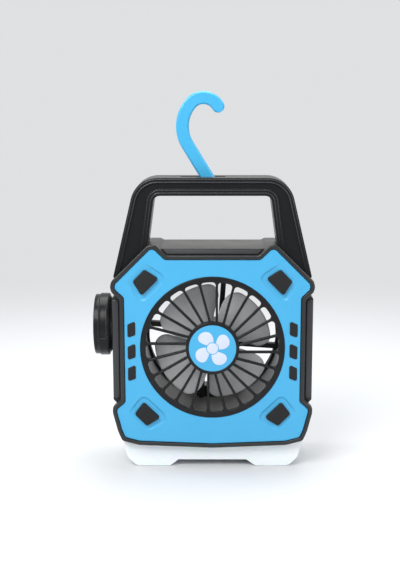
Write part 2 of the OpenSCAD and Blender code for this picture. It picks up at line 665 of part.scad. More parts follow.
// sunk band between the outer rim and the rib round the grip
module band_shape() difference() {
  polygon(concat([[leg_x(leg_low - 14) - 4.8, leg_low - 14]],
    corner([leg_x(leg_low) - 4.8, leg_low], [handle_half - 3.6, handle_top - 4.6],
      [-handle_half, handle_top - 4.6], handle_round - 4.6, 12),
    corner([handle_half, handle_top - 4.6], [-handle_half + 3.6, handle_top - 4.6],
      [-leg_x(leg_low) + 4.8, leg_low], handle_round - 4.6, 12),
    [[-leg_x(leg_low - 14) + 4.8, leg_low - 14]]));
  polygon(concat([[grip_x(leg_low - 34) + 6.5, leg_low - 34]],
    corner([grip_x(foot_z) + 6.5, foot_z], [grip_half + 5.6, grip_top + 6.4],
      [-grip_half, grip_top + 6.4], 11, 5),
    corner([grip_half, grip_top + 6.4], [-grip_half - 5.6, grip_top + 6.4],
      [-grip_x(foot_z) - 6.5, foot_z], 11, 5),
    [[-grip_x(leg_low - 34) - 6.5, leg_low - 34]]));
}
hollow_low = foot_z + 3.1;
hollow_high = grip_top - 12.7;
boss_z = (hollow_low + hollow_high) / 2;
leg_hollow = [[grip_x(hollow_low) + 3, hollow_low], [leg_x(hollow_low) - 3, hollow_low],
  [leg_x(hollow_high) - 3, hollow_high], [grip_x(hollow_high) + 3, hollow_high]];
handle_bosses = [[(grip_x(boss_z) + leg_x(boss_z)) / 2, boss_z], [grip_half - 8.5, pin_z]];
module handle_half_shell(d0, d1, face0, face1, in0, in1) color(black) difference() {
  slab(d0, d1) handle_shape();
  slab(face0, face1) band_shape();
  both() slab(in0, in1) difference() {
    polygon(rounded(leg_hollow, 3));
    translate(handle_bosses[0]) circle(4.4);
  }
  // slot and pin bore of the hook
  slab(handle_mid - hook_thick / 2 - slot_gap, handle_mid + hook_thick / 2 + slot_gap) hook_slot();
  slab(handle_mid - 12, handle_mid + 12) translate([0, pin_z]) circle(pin_r + fit);
  both() for (p = handle_bosses) {
    slab(handle_d + 5, handle_back + 1) translate(p) circle(screw_r + fit);
    slab(handle_back - band_sink - 4, handle_back + 1) translate(p) circle(screw_head_r + fit);
  }
  both() for (d = leg_screw_ds) leg_line(d) translate([0, 0, -1]) cylinder(r = screw_r + fit, h = 12);
}
leg_screw_ds = [handle_d + 8, handle_back - 8];
// a point beside the shank when it leans to angle a, on the side given, long from the pin
function slot_edge(a, side, long) =
  (hook_w / 2 + 0.25) * [cos(a + side), sin(a + side)] + long * [cos(a), sin(a)];
// room for the swinging hook: the eye's circle and a fan-shaped mouth, open at the top
module hook_slot() {
  translate([0, pin_z]) circle(hook_w / 2 + 0.4);
  translate([0, pin_z]) polygon([slot_edge(shank_a + swing_left, 90, 0),
    slot_edge(shank_a + swing_left, 90, 4.3 * handle_bar),
    slot_edge(shank_a - swing_right, -90, 1.9 * handle_bar), slot_edge(shank_a - swing_right, -90, 0)]);
}
module handle_front() handle_half_shell(handle_d, handle_mid, handle_d - 1, handle_d + band_sink,
  handle_d + 4.6, handle_mid + 1);
module handle_rear() handle_half_shell(handle_mid, handle_back, handle_back - band_sink, handle_back + 1,
  handle_mid - 1, handle_back - 4.6);
module handle_screws() color(steel) both() for (p = handle_bosses)
  cross_screw(p.x, p.y, handle_back - band_sink - 2, screw_r, screw_head_r, 22);
module leg_screws() color(steel) both() for (d = leg_screw_ds) leg_line(d) {
  translate([0, 0, -4.5 - 1.8]) cylinder(r = screw_head_r, h = 1.8);
  translate([0, 0, -4.5]) cylinder(r = screw_r, h = 14);
}
module hook_pin() color(steel) slab(handle_mid - 11.8, handle_mid + 11.8) translate([0, pin_z]) circle(pin_r);
// the band: arc over the branch, wider arc down the back, straight shank tangent to it, eye on the pin
arc_c = [-hook_x, hook_z];
back_c = arc_c + (hook_r - back_r) * [cos(hook_turn), sin(hook_turn)];
hook_far = norm(back_c - [0, pin_z]);
shank_long = sqrt(hook_far * hook_far - back_r * back_r);
shank_a = atan2(back_c.y - pin_z, back_c.x) + asin(back_r / hook_far);
// points on a circle round c from angle a0 to a1, the first left out
function round_pts(c, r, a0, a1, n) =
  [for (i = [1:n]) c + r * [cos(a0 + (a1 - a0) * i / n), sin(a0 + (a1 - a0) * i / n)]];
tip_c = arc_c + hook_r * [cos(hook_tip), sin(hook_tip)];
hook_outline = let (h = hook_w / 2, down = shank_a + 90) concat(
  round_pts(arc_c, hook_r + h, hook_tip, hook_turn, 16),
  round_pts(back_c, back_r + h, hook_turn, down, 10),
  [[0, pin_z] + h * [cos(down), sin(down)]],
  round_pts([0, pin_z], h, down, down + 180, 16),
  [back_c + (back_r - h) * [cos(down), sin(down)]],
  round_pts(back_c, back_r - h, down, hook_turn, 10),
  round_pts(arc_c, hook_r - h, hook_turn, hook_tip, 14),
  round_pts(tip_c, h, hook_tip + 180, hook_tip + 360, 14));
module hook() color(blue) difference() {
  slab(handle_mid - hook_thick / 2, handle_mid + hook_thick / 2) polygon(hook_outline);
  slab(handle_mid - hook_thick, handle_mid + hook_thick) translate([0, pin_z]) circle(pin_r + pin_gap);
}

// ---- torch on the left side
module torch_ring(t0, t1, r0, r1) difference() { torch_cyl(r1, t0, t1); torch_cyl(r0, t0 - 1, t1 + 1); }
head_end = neck_long + head_long;
module torch_housing() color(black) difference() {
  union() { torch_cyl(neck_r, 0, neck_long); torch_cyl(torch_r, neck_long, head_end); }
  torch_cyl(neck_r - 3, 2, neck_long + 2);
  torch_cyl(torch_r - 3, neck_long + 1.6, head_end + 1);
  torch_cyl(3, -1, 3);
  // finger recesses round the head
  for (k = [0:3]) translate([-bar_half - head_end - 0.1, torch_d - body_mid, torch_z]) rotate([0, 90, 0])
    rotate(k * 90 + 58) rotate_extrude(angle = 64) translate([torch_r - 0.9, 0]) square([3, head_long - 2.9]);
}
module torch_board() color([0.1, 0.35, 0.2]) torch_ring(2, 3.4, 2.2, neck_r - 3 - fit);
module torch_led() color([0.95, 0.9, 0.6]) { torch_cyl(3.4, 3.4, 4.6); torch_cyl(2.4, 4.6, 6); }
module torch_reflector() color(steel) translate([-bar_half, torch_d - body_mid, torch_z]) rotate([0, -90, 0])
  rotate_extrude() polygon([[3.8, 3.4], [5.6, 3.4], [8, head_end - 8.3], [14, head_end - 6.5],
    [20, head_end - 4], [neck_r, head_end - 1.6], [torch_r - 3 - fit, head_end - 1.6],
    [torch_r - 3 - fit, head_end], [neck_r - 0.8, head_end], [19, head_end - 3],
    [13, head_end - 5.5], [7.2, head_end - 7.1], [3.8, 4.8]]);
module torch_lens() color([0.85, 0.9, 0.95]) torch_cyl(torch_r - 3.2, head_end, head_end + 1.8);
module torch_bezel() color(black) {
  torch_ring(head_end, head_end + 1.8, torch_r - 3, torch_r - 1);
  torch_ring(head_end + 1.8, head_end + bezel_long, torch_r - 5.4, torch_r - 1);
}

// ---- lantern base
// half the base's width at the height z, on its slanting side; the outline runs on far above the top
function base_x(z) = base_half_low + (z - 8) * base_draft / (base_high - 8);
function base_outer(g, high) = let(up = high + 20)
  rounded([[base_half_low - 8.5, g], [base_half_low - g, 8], [base_x(up) - g, up],
    [-base_x(up) + g, up], [-base_half_low + g, 8], [-base_half_low + 8.5, g]], 7, 3);
arch_end = arch_slant / arch_high;
module arch(g) polygon([[arch_slant - arch_half - g, arch_high + g], [-arch_half - arch_end - g, -1],
  [arch_half + arch_end + g, -1], [arch_half - arch_slant + g, arch_high + g]]);
arch_back_d = base_back_d - 20;
module lantern_diffuser() color(white) difference() {
  slab(base_d, base_back_d) intersection() {
      polygon(base_outer(0, base_high));
      translate([-body_half, -1]) square([2 * body_half, base_high + 1]);
    }
  slab(base_d - 1, arch_back_d) arch(0);
  difference() {
    slab(base_d + base_wall, base_back_d - base_wall) polygon(base_outer(base_wall, base_high + 5));
    slab(base_d, arch_back_d + base_wall) arch(base_wall);
    base_corners() translate([0, 0, -1]) cylinder(r = 4.6, h = base_high + 10);
  }
  base_corners() translate([0, 0, -1]) {
    cylinder(r = screw_r + fit, h = base_high + 10);
    cylinder(r = screw_head_r + 0.3, h = 6);
  }
}
module base_corners() both() for (d = base_screw_ds) translate([base_screw_x, d - body_mid, 0]) children();
module base_screws() color(steel) base_corners() translate([0, 0, 3.2]) difference() {
  union() { cylinder(r = screw_head_r, h = 1.8); cylinder(r = screw_r, h = base_high + wall - 3.2 + 0.8); }
  for (a = [45, 135]) rotate(a) cube([screw_head_r * 1.2, screw_head_r * 0.28, 2], center = true);
}
module lantern_board() color([0.9, 0.92, 0.9]) difference() {
  block(-base_screw_x - 9.5, base_screw_x + 9.5, base_d + 5.6, base_back_d - 6, base_high - 1.6, base_high);
  base_corners() translate([0, 0, base_high - 5]) cylinder(r = 5, h = 10);
  translate([0, wire_d - body_mid, base_high - 5]) cylinder(r = 3, h = 10);
}
led_step = (base_screw_x - 11.5) / 3;
module lantern_leds() color([0.95, 0.9, 0.6]) for (k = [-3:3]) for (d = [base_d + 11.6, base_back_d - 20])
  block(k * led_step - 1.8, k * led_step + 1.8, d - 1.4, d + 1.4, base_high - 2.5, base_high - 1.6);

// ---- battery, door and controls
module battery_holder() color(black) difference() {
  block(-holder_half, holder_half, holder_d, plate_front - fit, bay_low, cell_z + 3);
  for (d = [cell_front_d, cell_back_d]) {
    translate([-holder_half + 1.5, d - body_mid, cell_z]) rotate([0, 90, 0])
      cylinder(r = cell_radius + 0.1, h = 2 * holder_half - 3);
    block(-holder_half + 1.5, holder_half - 1.5, d - cell_radius - 0.1, d + cell_radius + 0.1,
      cell_z, cell_z + cell_radius);
  }
}
module battery_cells() color([0.3, 0.5, 0.35]) for (s = [-1, 1]) for (d = [cell_front_d, cell_back_d])
  translate([s * (cell_long / 2 + 1.2), d - body_mid, cell_z]) rotate([0, 90, 0]) {
    cylinder(r = cell_radius, h = cell_long, center = true);
    translate([0, 0, -s * (cell_long / 2 + 0.5)]) cylinder(r = 3, h = 1, center = true);
  }
module battery_contacts() color(steel) both() for (d = [cell_front_d, cell_back_d]) {
  block(holder_half - 2, holder_half - 1.5, d - 5, d + 5, cell_z - 5, cell_z + 5);
  translate([cell_long + 1.2, d - body_mid, cell_z]) rotate([0, 90, 0])
    cylinder(r1 = 2.4, r2 = 4.6, h = spring_long);
}
module battery_door() color(black) difference() {
  union() {
    block(-door_half, door_half, plate_front, body_depth, door_low, door_high);
    // three ribs to push with
    for (z = [-3:3:3]) block(-14, 14, body_depth, body_depth + 0.6, cell_z + z - 0.7, cell_z + z + 0.7);
  }
  both() slab(plate_front - 1, body_depth + 1) translate([door_x, cell_z]) circle(1.2 + fit);
}
module door_screws() color(steel) both() cross_screw(door_x, cell_z, body_depth + 1.2, 1.2, 2.2, 7, 1.2);

module control_board() color([0.1, 0.35, 0.2]) {
  block(-button_x - 20, button_x + 20, back_in - 7.5, back_in - 5.9, control_z - 5, vent_low - 2);
  for (x = [-button_x, button_x])
    block(x - 3, x + 3, back_in - 5.9, back_in - 2.9, control_z - 3, control_z + 3);
}
module charge_socket() color(steel) difference() {
  slab(back_in - 5.9, plate_front - 0.2) polygon(rounded(socket_pts(0), 1.5, 3));
  slab(back_in - 4, body_depth) polygon(rounded(socket_pts(-0.4), 1.1, 3));
}
module push_button(x) color(black) {
  slab(back_in - 0.1, body_depth + button_out) translate([x, control_z]) circle(button_r);
  slab(back_in - 1.3, back_in - 0.1) translate([x, control_z]) circle(button_r + 0.9);
}
module fan_button() push_button(-button_x);
module light_button() push_button(button_x);
module port_cover() color(black) {
  block(-flap_half, flap_half, flap_d - flap_pin_r, flap_d + flap_pin_r, flap_z, flap_top);
  translate([-flap_half - 1.1, flap_d - body_mid, flap_z]) rotate([0, 90, 0])
    cylinder(r = flap_pin_r, h = 2 * flap_half + 2.2, $fn = 24);
}

front_frame();
front_panel();
corner_pads();
side_pads();
grille();
hub_badge();
badge_symbol();
mid_housing();
rear_cover();
frame_screws();
housing_screws();
impeller();
motor_shaft();
shaft_collar();
motor_rotor();
motor_can();
motor_magnets();
motor_end_cap();
motor_bushes();
motor_mount();
motor_screws();
handle_front();
handle_rear();
handle_screws();
leg_screws();
hook_pin();
hook();
torch_housing();
torch_board();
torch_led();
torch_reflector();
torch_lens();
torch_bezel();
lantern_diffuser();
lantern_board();
lantern_leds();
base_screws();
battery_holder();
battery_cells();
battery_contacts();
battery_door();
door_screws();
control_board();
charge_socket();
fan_button();
light_button();
port_cover();
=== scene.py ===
"""Portable camping fan, dressed for rendering.

Millimetres are used for every shape here, with X to the right and Z up as seen from the front and
d the depth behind the bumper frame's front plane; put_in() turns them into Blender's metres.
"""
import math

import bmesh
import bpy
import numpy as np
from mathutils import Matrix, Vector


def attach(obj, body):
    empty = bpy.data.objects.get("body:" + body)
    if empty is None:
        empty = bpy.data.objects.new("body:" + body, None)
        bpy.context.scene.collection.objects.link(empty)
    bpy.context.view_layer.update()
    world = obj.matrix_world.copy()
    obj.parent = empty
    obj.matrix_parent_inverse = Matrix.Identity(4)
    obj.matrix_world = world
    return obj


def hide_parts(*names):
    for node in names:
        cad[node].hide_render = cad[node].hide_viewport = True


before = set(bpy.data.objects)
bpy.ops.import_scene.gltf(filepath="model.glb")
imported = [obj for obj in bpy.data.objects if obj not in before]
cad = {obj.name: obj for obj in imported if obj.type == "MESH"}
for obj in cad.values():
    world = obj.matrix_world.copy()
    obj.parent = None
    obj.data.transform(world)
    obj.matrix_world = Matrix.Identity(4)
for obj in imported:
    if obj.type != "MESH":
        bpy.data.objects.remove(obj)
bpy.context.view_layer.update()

# ------------------------------------------------------------------ sizes, as in the part's source
body_mid = 38.0
grille_z = 117.6
turned_fit = 0.06
ear_half, waist_half, frame_low, frame_high, notch_high = 94.6, 86.0, 20.3, 214.4, 204.7
frame_depth, frame_rim, frame_round = 8.0, 3.7, 4.0
panel_front, seat_back, flange_back = 1.0, 4.2, 6.4
pad_back, bar_face = 2.4, 8.05
grille_r, flange_r, cell_r, duct_r = 67.3, 70.0, 62.3, 64.5
hub_ring_r, badge_r, badge_front, badge_seat = 25.0, 22.1, -0.8, 0.8
spoke_count, spoke_wide, spoke_skew, cell_round = 24, 2.3, 4.0, 3.6
blade_count, blade_span, blade_sweep, blade_thick = 4, 15.0, 84.0, 1.7
fan_r, fan_hub_r, fan_depth, fan_turn = 55.5, 19.5, 26.0, -40.0
hook_wide, hook_thick, hook_arc_r, hook_back_r = 11.8, 7.0, 15.4, 32.0
hook_arc_middle, hook_tip_angle, hook_turn_angle = np.array([-8.3, 331.4]), 30.0, 140.0
pin_z, handle_mid, handle_faces = 266.85, 25.0, (8.0, 42.0)
bar_half, torch_depth, torch_z = 93.7, 32.0, 134.0

# ------------------------------------------------------------------ outlines, as arrays of [x, z]


def unit(v):
    """Each vector divided by its own length."""
    return v / np.linalg.norm(v, axis=-1, keepdims=True)


def at_angle(degrees):
    """Points of the unit circle at the angles given, anticlockwise from +X."""
    a = np.radians(degrees)
    return np.stack([np.cos(a), np.sin(a)], -1)


def winds_left(outline):
    """Whether an outline runs anticlockwise, from the sign of its area."""
    following = np.roll(outline, -1, 0)
    return (outline[:, 0] * following[:, 1] - following[:, 0] * outline[:, 1]).sum() > 0


def both_sides(outline):
    """An outline and its mirror image, each made to run anticlockwise."""
    pair = outline, outline * [-1, 1]
    return [one if winds_left(one) else one[::-1] for one in pair]


def grow(outline, out):
    """An anticlockwise outline with every side moved outwards by out: each corner moves along the
    sum of its two side normals, divided by one plus their dot product."""
    before = unit(outline - np.roll(outline, 1, 0))
    after = unit(np.roll(outline, -1, 0) - outline)
    m, n = (np.stack([way[:, 1], -way[:, 0]], 1) for way in (before, after))
    return outline + out * (m + n) / (1 + (m * n).sum(1, keepdims=True))


def rounded(outline, radius, steps=8):
    """Each corner becomes an arc: its centre lies on the bisector at radius / sin(half angle), and
    its points turn evenly from the tangent point on one side to the one on the other. An arc takes
    at most 45 hundredths of its shorter side."""
    to_last, to_next = np.roll(outline, 1, 0) - outline, np.roll(outline, -1, 0) - outline
    u, v = unit(to_last), unit(to_next)
    half = np.arccos(np.clip((u * v).sum(1), -0.9999, 0.9999)) / 2
    shorter = np.minimum(np.linalg.norm(to_last, axis=1), np.linalg.norm(to_next, axis=1))
    run = np.minimum(radius / np.tan(half), 0.45 * shorter)
    arc_r = run * np.tan(half)
    centre = outline + unit(u + v) * (arc_r / np.sin(half))[:, None]
    start, end = outline + u * run[:, None] - centre, outline + v * run[:, None] - centre
    first = np.arctan2(start[:, 1], start[:, 0])
    turn = (np.arctan2(end[:, 1], end[:, 0]) - first + 3 * np.pi) % (2 * np.pi) - np.pi
    a = first[:, None] + turn[:, None] * np.linspace(0, 1, steps + 1)
    arcs = centre[:, None] + arc_r[:, None, None] * np.stack([np.cos(a), np.sin(a)], -1)
    return arcs.reshape(-1, 2)


def mirrored(right_half):
    """A right half, from bottom to top, closed by its mirror image."""
    half = np.array(right_half, float)
    other = half[::-1][half[::-1, 0] > 0.001] * [-1, 1]
    return np.vstack([half, other])


frame_corners = mirrored([
    [0, frame_low], [ear_half - 25, frame_low + 2.7], [ear_half - 9.1, frame_low + 7],
    [ear_half - 5.1, frame_low + 16.7], [ear_half - 0.6, frame_low + 34.3],
    [ear_half - 0.7, frame_low + 40], [waist_half, frame_low + 46.8],
    [waist_half, frame_high - 50.9], [ear_half - 1.2, frame_high - 44],
    [ear_half, frame_high - 39.4], [ear_half - 1, frame_high - 34.2],
    [ear_half - 35.3, frame_high], [ear_half - 42.4, frame_high], [ear_half - 52.3, notch_high]])


def frame_outline(inset):
    """The bumper frame's outline, moved in by inset and rounded."""
    return rounded(grow(frame_corners, -inset), frame_round)


upper_pad = np.array([[32, -23], [44.6, -31.2], [29.2, -46.8], [21.3, -33.9]])
lower_pad = np.array([[30, 44.6], [45.1, 29.9], [32.8, 22.2], [21.6, 33.5]])
corner_outlines = (both_sides(upper_pad + [-ear_half, frame_high])
                   + both_sides(lower_pad + [-ear_half, frame_low]))

# ------------------------------------------------------------------ meshes


def quads(rows, columns, around, closed):
    """Corner numbers of a grid's faces: the columns meet round the back where around is set, and
    the last row meets the first where closed is set."""
    r = np.arange(rows if closed else rows - 1)
    c = np.arange(columns if around else columns - 1)
    r, c = np.meshgrid(r, c, indexing="ij")
    r1, c1 = (r + 1) % rows, (c + 1) % columns
    corners = [r * columns + c, r * columns + c1, r1 * columns + c1, r1 * columns + c]
    return np.stack(corners, -1).reshape(-1, 4)


def grid(points, around=True, closed=False):
    """A surface through an array of points with the shape (rows, columns, 3)."""
    rows, columns = points.shape[:2]
    return points.reshape(-1, 3), quads(rows, columns, around, closed)


def flat_at(outline, depth):
    """The [x, z] points at one depth, as [x, d, z]."""
    depth = np.broadcast_to(depth, outline.shape[:-1])
    return np.stack([outline[..., 0], depth, outline[..., 1]], -1)


def revolved(profile, angles=np.linspace(0, 360, 144, endpoint=False)):
    """A profile of [radius, depth] points turned about the grille's axis: x = r cos a, z = r sin
    a."""
    profile = np.array(profile, float)
    ring = profile[:, :1, None] * at_angle(angles) + [0, grille_z]
    return grid(flat_at(ring, profile[:, 1:2]))


def edge_arc(front, r, steps=5):
    """[inset, depth] pairs of a rounded front edge: a quarter turn of radius r from the side face
    to the front face at depth front."""
    a = np.linspace(0, np.pi / 2, steps + 1)
    return np.stack([r * (1 - np.cos(a)), front + r * (1 - np.sin(a))], 1)


def turned_edge(radius, front, r):
    """The same edge on a turned piece, as [radius, depth] pairs from the front face outwards."""
    return [[radius - inset, depth] for inset, depth in edge_arc(front, r)[::-1]]


def plate(outline, front, back, soft):
    """A flat plate: its outline from the back edge round a quarter turn to the front, then closed
    to the middle on both faces."""
    middle = 0 * outline + outline.mean(0)
    rows = [(middle, back), (outline, back)]
    rows += [(grow(outline, -inset), d) for inset, d in edge_arc(front, soft, 3)]
    rows += [(middle, front)]
    return grid(np.stack([flat_at(o, d) for o, d in rows]))


def soften(piece, wide):
    """A small rounded edge on every corner sharper than 35 degrees."""
    edge = piece.modifiers.new("soft_edge", "BEVEL")
    edge.width, edge.segments = wide / 1000, 2
    edge.limit_method, edge.angle_limit = "ANGLE", math.radians(35)
    edge.harden_normals = True


def put_in(name, surfaces, body, nodes, material, crease, bevel=0.0):
    """Joins the surfaces into one object in metres, welds seams and poles, points its faces
    outwards, smooths it between creases, and lets it ride on a body in place of its CAD nodes."""
    points, faces, count = [], [], 0
    for p, f in surfaces:
        points.append(p)
        faces.append(f + count)
        count += len(p)
    points = (np.vstack(points) - [0, body_mid, 0]) / 1000
    mesh = bpy.data.meshes.new(name)
    mesh.from_pydata(points.tolist(), [], np.vstack(faces).tolist())
    shape = bmesh.new()
    shape.from_mesh(mesh)
    bmesh.ops.remove_doubles(shape, verts=shape.verts, dist=2e-6)
    bmesh.ops.recalc_face_normals(shape, faces=shape.faces)
    shape.to_mesh(mesh)
    shape.free()
    mesh.polygons.foreach_set("use_smooth", np.ones(len(mesh.polygons), bool))
    mesh.set_sharp_from_angle(angle=math.radians(crease))
    piece = bpy.data.objects.new(name, mesh)
    bpy.context.scene.collection.objects.link(piece)
    if bevel:
        soften(piece, bevel)
    mesh.materials.append(material)
    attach(piece, body)
    if nodes:
        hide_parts(*nodes)


def dress(names, material, wide):
    """CAD nodes keep their shape: their triangles are joined, their flat faces made whole, their
    edges get their moulded radius, and they take their material."""
    for name in names.split():
        piece = cad[name]
        piece.data.polygons.foreach_set("use_smooth", np.ones(len(piece.data.polygons), bool))
        weld = piece.modifiers.new("weld", "WELD")
        weld.merge_threshold = 0.00001
        whole = piece.modifiers.new("whole_faces", "DECIMATE")
        whole.decimate_type, whole.angle_limit = "DISSOLVE", math.radians(0.5)
        soften(piece, wide)
        even = piece.modifiers.new("flat_faces", "WEIGHTED_NORMAL")
        even.mode, even.weight, even.keep_sharp = "FACE_AREA", 100, True
        piece.data.materials.clear()
        piece.data.materials.append(material)

# ------------------------------------------------------------------ frame and panel


def towards_circle(outline, radius):
    """For each point of an outline, the point of a circle about the grille's axis in the same
    direction."""
    return [0, grille_z] + radius * unit(outline - [0, grille_z])


def close_set(outlines, spacing):
    """Outlines with matching points, each read at the same places along its point numbers, so that
    the first one's points lie evenly at the spacing."""
    first = outlines[0]
    steps = np.linalg.norm(np.roll(first, -1, 0) - first, axis=1)
    run = np.concatenate([[0], np.cumsum(steps)])
    place = np.interp(np.arange(0, run[-1], spacing), run, np.arange(len(run)))
    low, part = place.astype(int) % len(first), (place % 1)[:, None]
    return [o[low] * (1 - part) + o[(low + 1) % len(o)] * part for o in outlines]


def bumper_frame(material):
    """The frame's cross-section carried round its outline: side wall, rounded nose with a softer
    outer corner, inner ledge, then a round hole met in the direction of each outline point."""
    outer_r, inner_r, back_chamfer, spacing = 1.5, 0.9, 0.3, 2.0
    inner = edge_arc(0, inner_r)[::-1]
    section = np.vstack([
        [[0.35, frame_depth], [0, frame_depth - 0.4]], edge_arc(0, outer_r, 6),
        np.stack([frame_rim - inner[:, 0], inner[:, 1]], 1), [[frame_rim, seat_back]]])
    outlines = close_set([frame_outline(inset) for inset in section[:, 0]], spacing)
    rows = [flat_at(o, d) for o, d in zip(outlines, section[:, 1])]
    hole = ((flange_r, seat_back), (flange_r, flange_back), (duct_r, flange_back),
            (duct_r, frame_depth - back_chamfer), (duct_r + back_chamfer, frame_depth))
    rows += [flat_at(towards_circle(outlines[-1], r), d) for r, d in hole]
    put_in("bumper_frame", [grid(np.stack(rows), True, True)], "housing",
           ["front_frame"], material, 40)


def depth_inside(points, outline):
    """How far each point lies inside an outline: the least distance to its sides, negative
    outside."""
    a, b = outline, np.roll(outline, -1, 0)
    side = b - a
    point = points[..., None, :]
    rel = point - a
    t = np.clip((rel * side).sum(-1) / (side * side).sum(-1), 0, 1)
    gap = np.linalg.norm(rel - t[..., None] * side, axis=-1).min(-1)
    spans = (a[:, 1] > point[..., 1]) != (b[:, 1] > point[..., 1])
    with np.errstate(divide="ignore", invalid="ignore"):
        cross = a[:, 0] + (point[..., 1] - a[:, 1]) * side[:, 0] / side[:, 1]
    inside = (spans & (point[..., 0] < cross)).sum(-1) % 2 == 1
    return np.where(inside, gap, -gap)


def smooth_step(x):
    """Nought below 0, one above 1, and 3x^2 - 2x^3 between."""
    x = np.clip(x, 0, 1)
    return x * x * (3 - 2 * x)


def recess_depth(points):
    """The stepped hollow round each corner pad: full depth at the pad's side towards the grille,
    rising to the panel's face towards the ear, with a step 1.7 mm wide at its edge."""
    full, margin, corner_r, step_wide, fade_start, fade_run = 1.4, 5.2, 6, 1.7, 15, 14
    deep = np.zeros(points.shape[:-1])
    for pad in corner_outlines:
        middle = pad.mean(0)
        inward = unit(np.array([0, grille_z]) - middle)
        inside = depth_inside(points, rounded(grow(pad, margin), corner_r))
        step = smooth_step(inside / step_wide + 0.5)
        fade = smooth_step(((points - middle) @ inward + fade_start) / fade_run)
        deep = np.maximum(deep, full * step * fade)
    return deep


def blue_front(material):
    """The panel: rows from its rounded outer edge to its rounded round hole, each point moving
    straight towards the hole's edge, with the pads' hollows pressed into the face."""
    frame_gap, edge_r, hole_edge_r, spacing, face_rows = 0.4, 0.8, 0.5, 0.8, 61
    rim_in = frame_rim + frame_gap
    hole_r = grille_r + turned_fit
    edge = np.vstack([[[0, seat_back]], edge_arc(panel_front, edge_r, 4)])
    fine = close_set([frame_outline(rim_in + inset) for inset in edge[:, 0]], spacing)
    rows = [flat_at(o, d) for o, d in zip(fine, edge[:, 1])]
    outer, hole = fine[-1], towards_circle(fine[-1], hole_r + hole_edge_r)
    share = np.linspace(0, 1, face_rows + 1)[1:, None, None]
    face = outer * (1 - share) + hole * share
    rows += list(flat_at(face, panel_front + recess_depth(face)))
    rows += [flat_at(towards_circle(outer, hole_r + inset), d)
             for inset, d in edge_arc(panel_front, hole_edge_r, 4)[::-1][1:]]
    rows += [flat_at(towards_circle(outer, hole_r), seat_back)]
    put_in("blue_front", [grid(np.stack(rows), True, True)], "housing",
           ["front_panel"], material, 50)


def corner_plates(material):
    """The four kite-shaped pads: flat plates with rounded edges, mirrored left to right."""
    grown, corner_r, front, soft = 0.3, 2.3, -0.2, 0.6
    surfaces = [plate(rounded(grow(pad, grown), corner_r), front, pad_back, soft)
                for pad in corner_outlines]
    put_in("corner_plates", surfaces, "housing", ["corner_pads"], material, 40)


def side_plates(material):
    """The six slanting pads beside the grille, three a side: flat plates with rounded corners and
    edges, mirrored left to right."""
    shape = np.array([[71.7, -4.9], [79.0, -7.6], [79.0, 5.0], [71.7, 8.4]])
    heights, corner_r, front, soft = (17.4, -3.8, -24.4), 1.6, 0.3, 0.4
    surfaces = [plate(rounded(pad, corner_r, 6), front, pad_back, soft)
                for z in heights for pad in both_sides(shape + [0, grille_z + z])]
    put_in("side_plates", surfaces, "housing", ["side_pads"], material, 40)


def deck_front_strip(material):
    """The satin strip below the deck, with slanting ends that follow the frame's notch; it leans
    back towards its top, so its depth in front of the wall falls off in a straight line with Z."""
    low, high, front, lean, corner_r, soft = 205.3, 209.4, 6.3, 0.65, 0.6, 0.35
    corners = np.array([[-41.9, low], [41.9, low], [46.0, high], [-46.0, high]])
    points, faces = plate(rounded(corners, corner_r, 4), front, bar_face, soft)
    keep = 1 - lean * (points[:, 2] - low) / (high - low)
    points[:, 1] = bar_face - (bar_face - points[:, 1]) * keep
    put_in("deck_front_strip", [(points, faces)], "housing", [], material, 40)


def bar_trims(material):
    """The raised face of each side bar: a plate with a round top beside the frame's waist."""
    inner, outer, low, high, front, corner_r, soft = 87.3, 93.5, 68.5, 162.5, 6.6, 2.6, 0.9
    corners = np.array([[inner, low], [90.5, low - 2.3], [outer, low + 1], [outer, high],
                        [inner, high]])
    surfaces = [plate(rounded(bar, corner_r, 6), front, bar_face, soft)
                for bar in both_sides(corners)]
    put_in("bar_trims", surfaces, "housing", [], material, 40)

# ------------------------------------------------------------------ grille, badge and impeller


def beside(angle, offset, radius):
    """The point at a radius on the line at an angle that passes the centre at an offset."""
    return math.sqrt(radius ** 2 - offset ** 2) * at_angle(angle) + offset * at_angle(angle + 90)


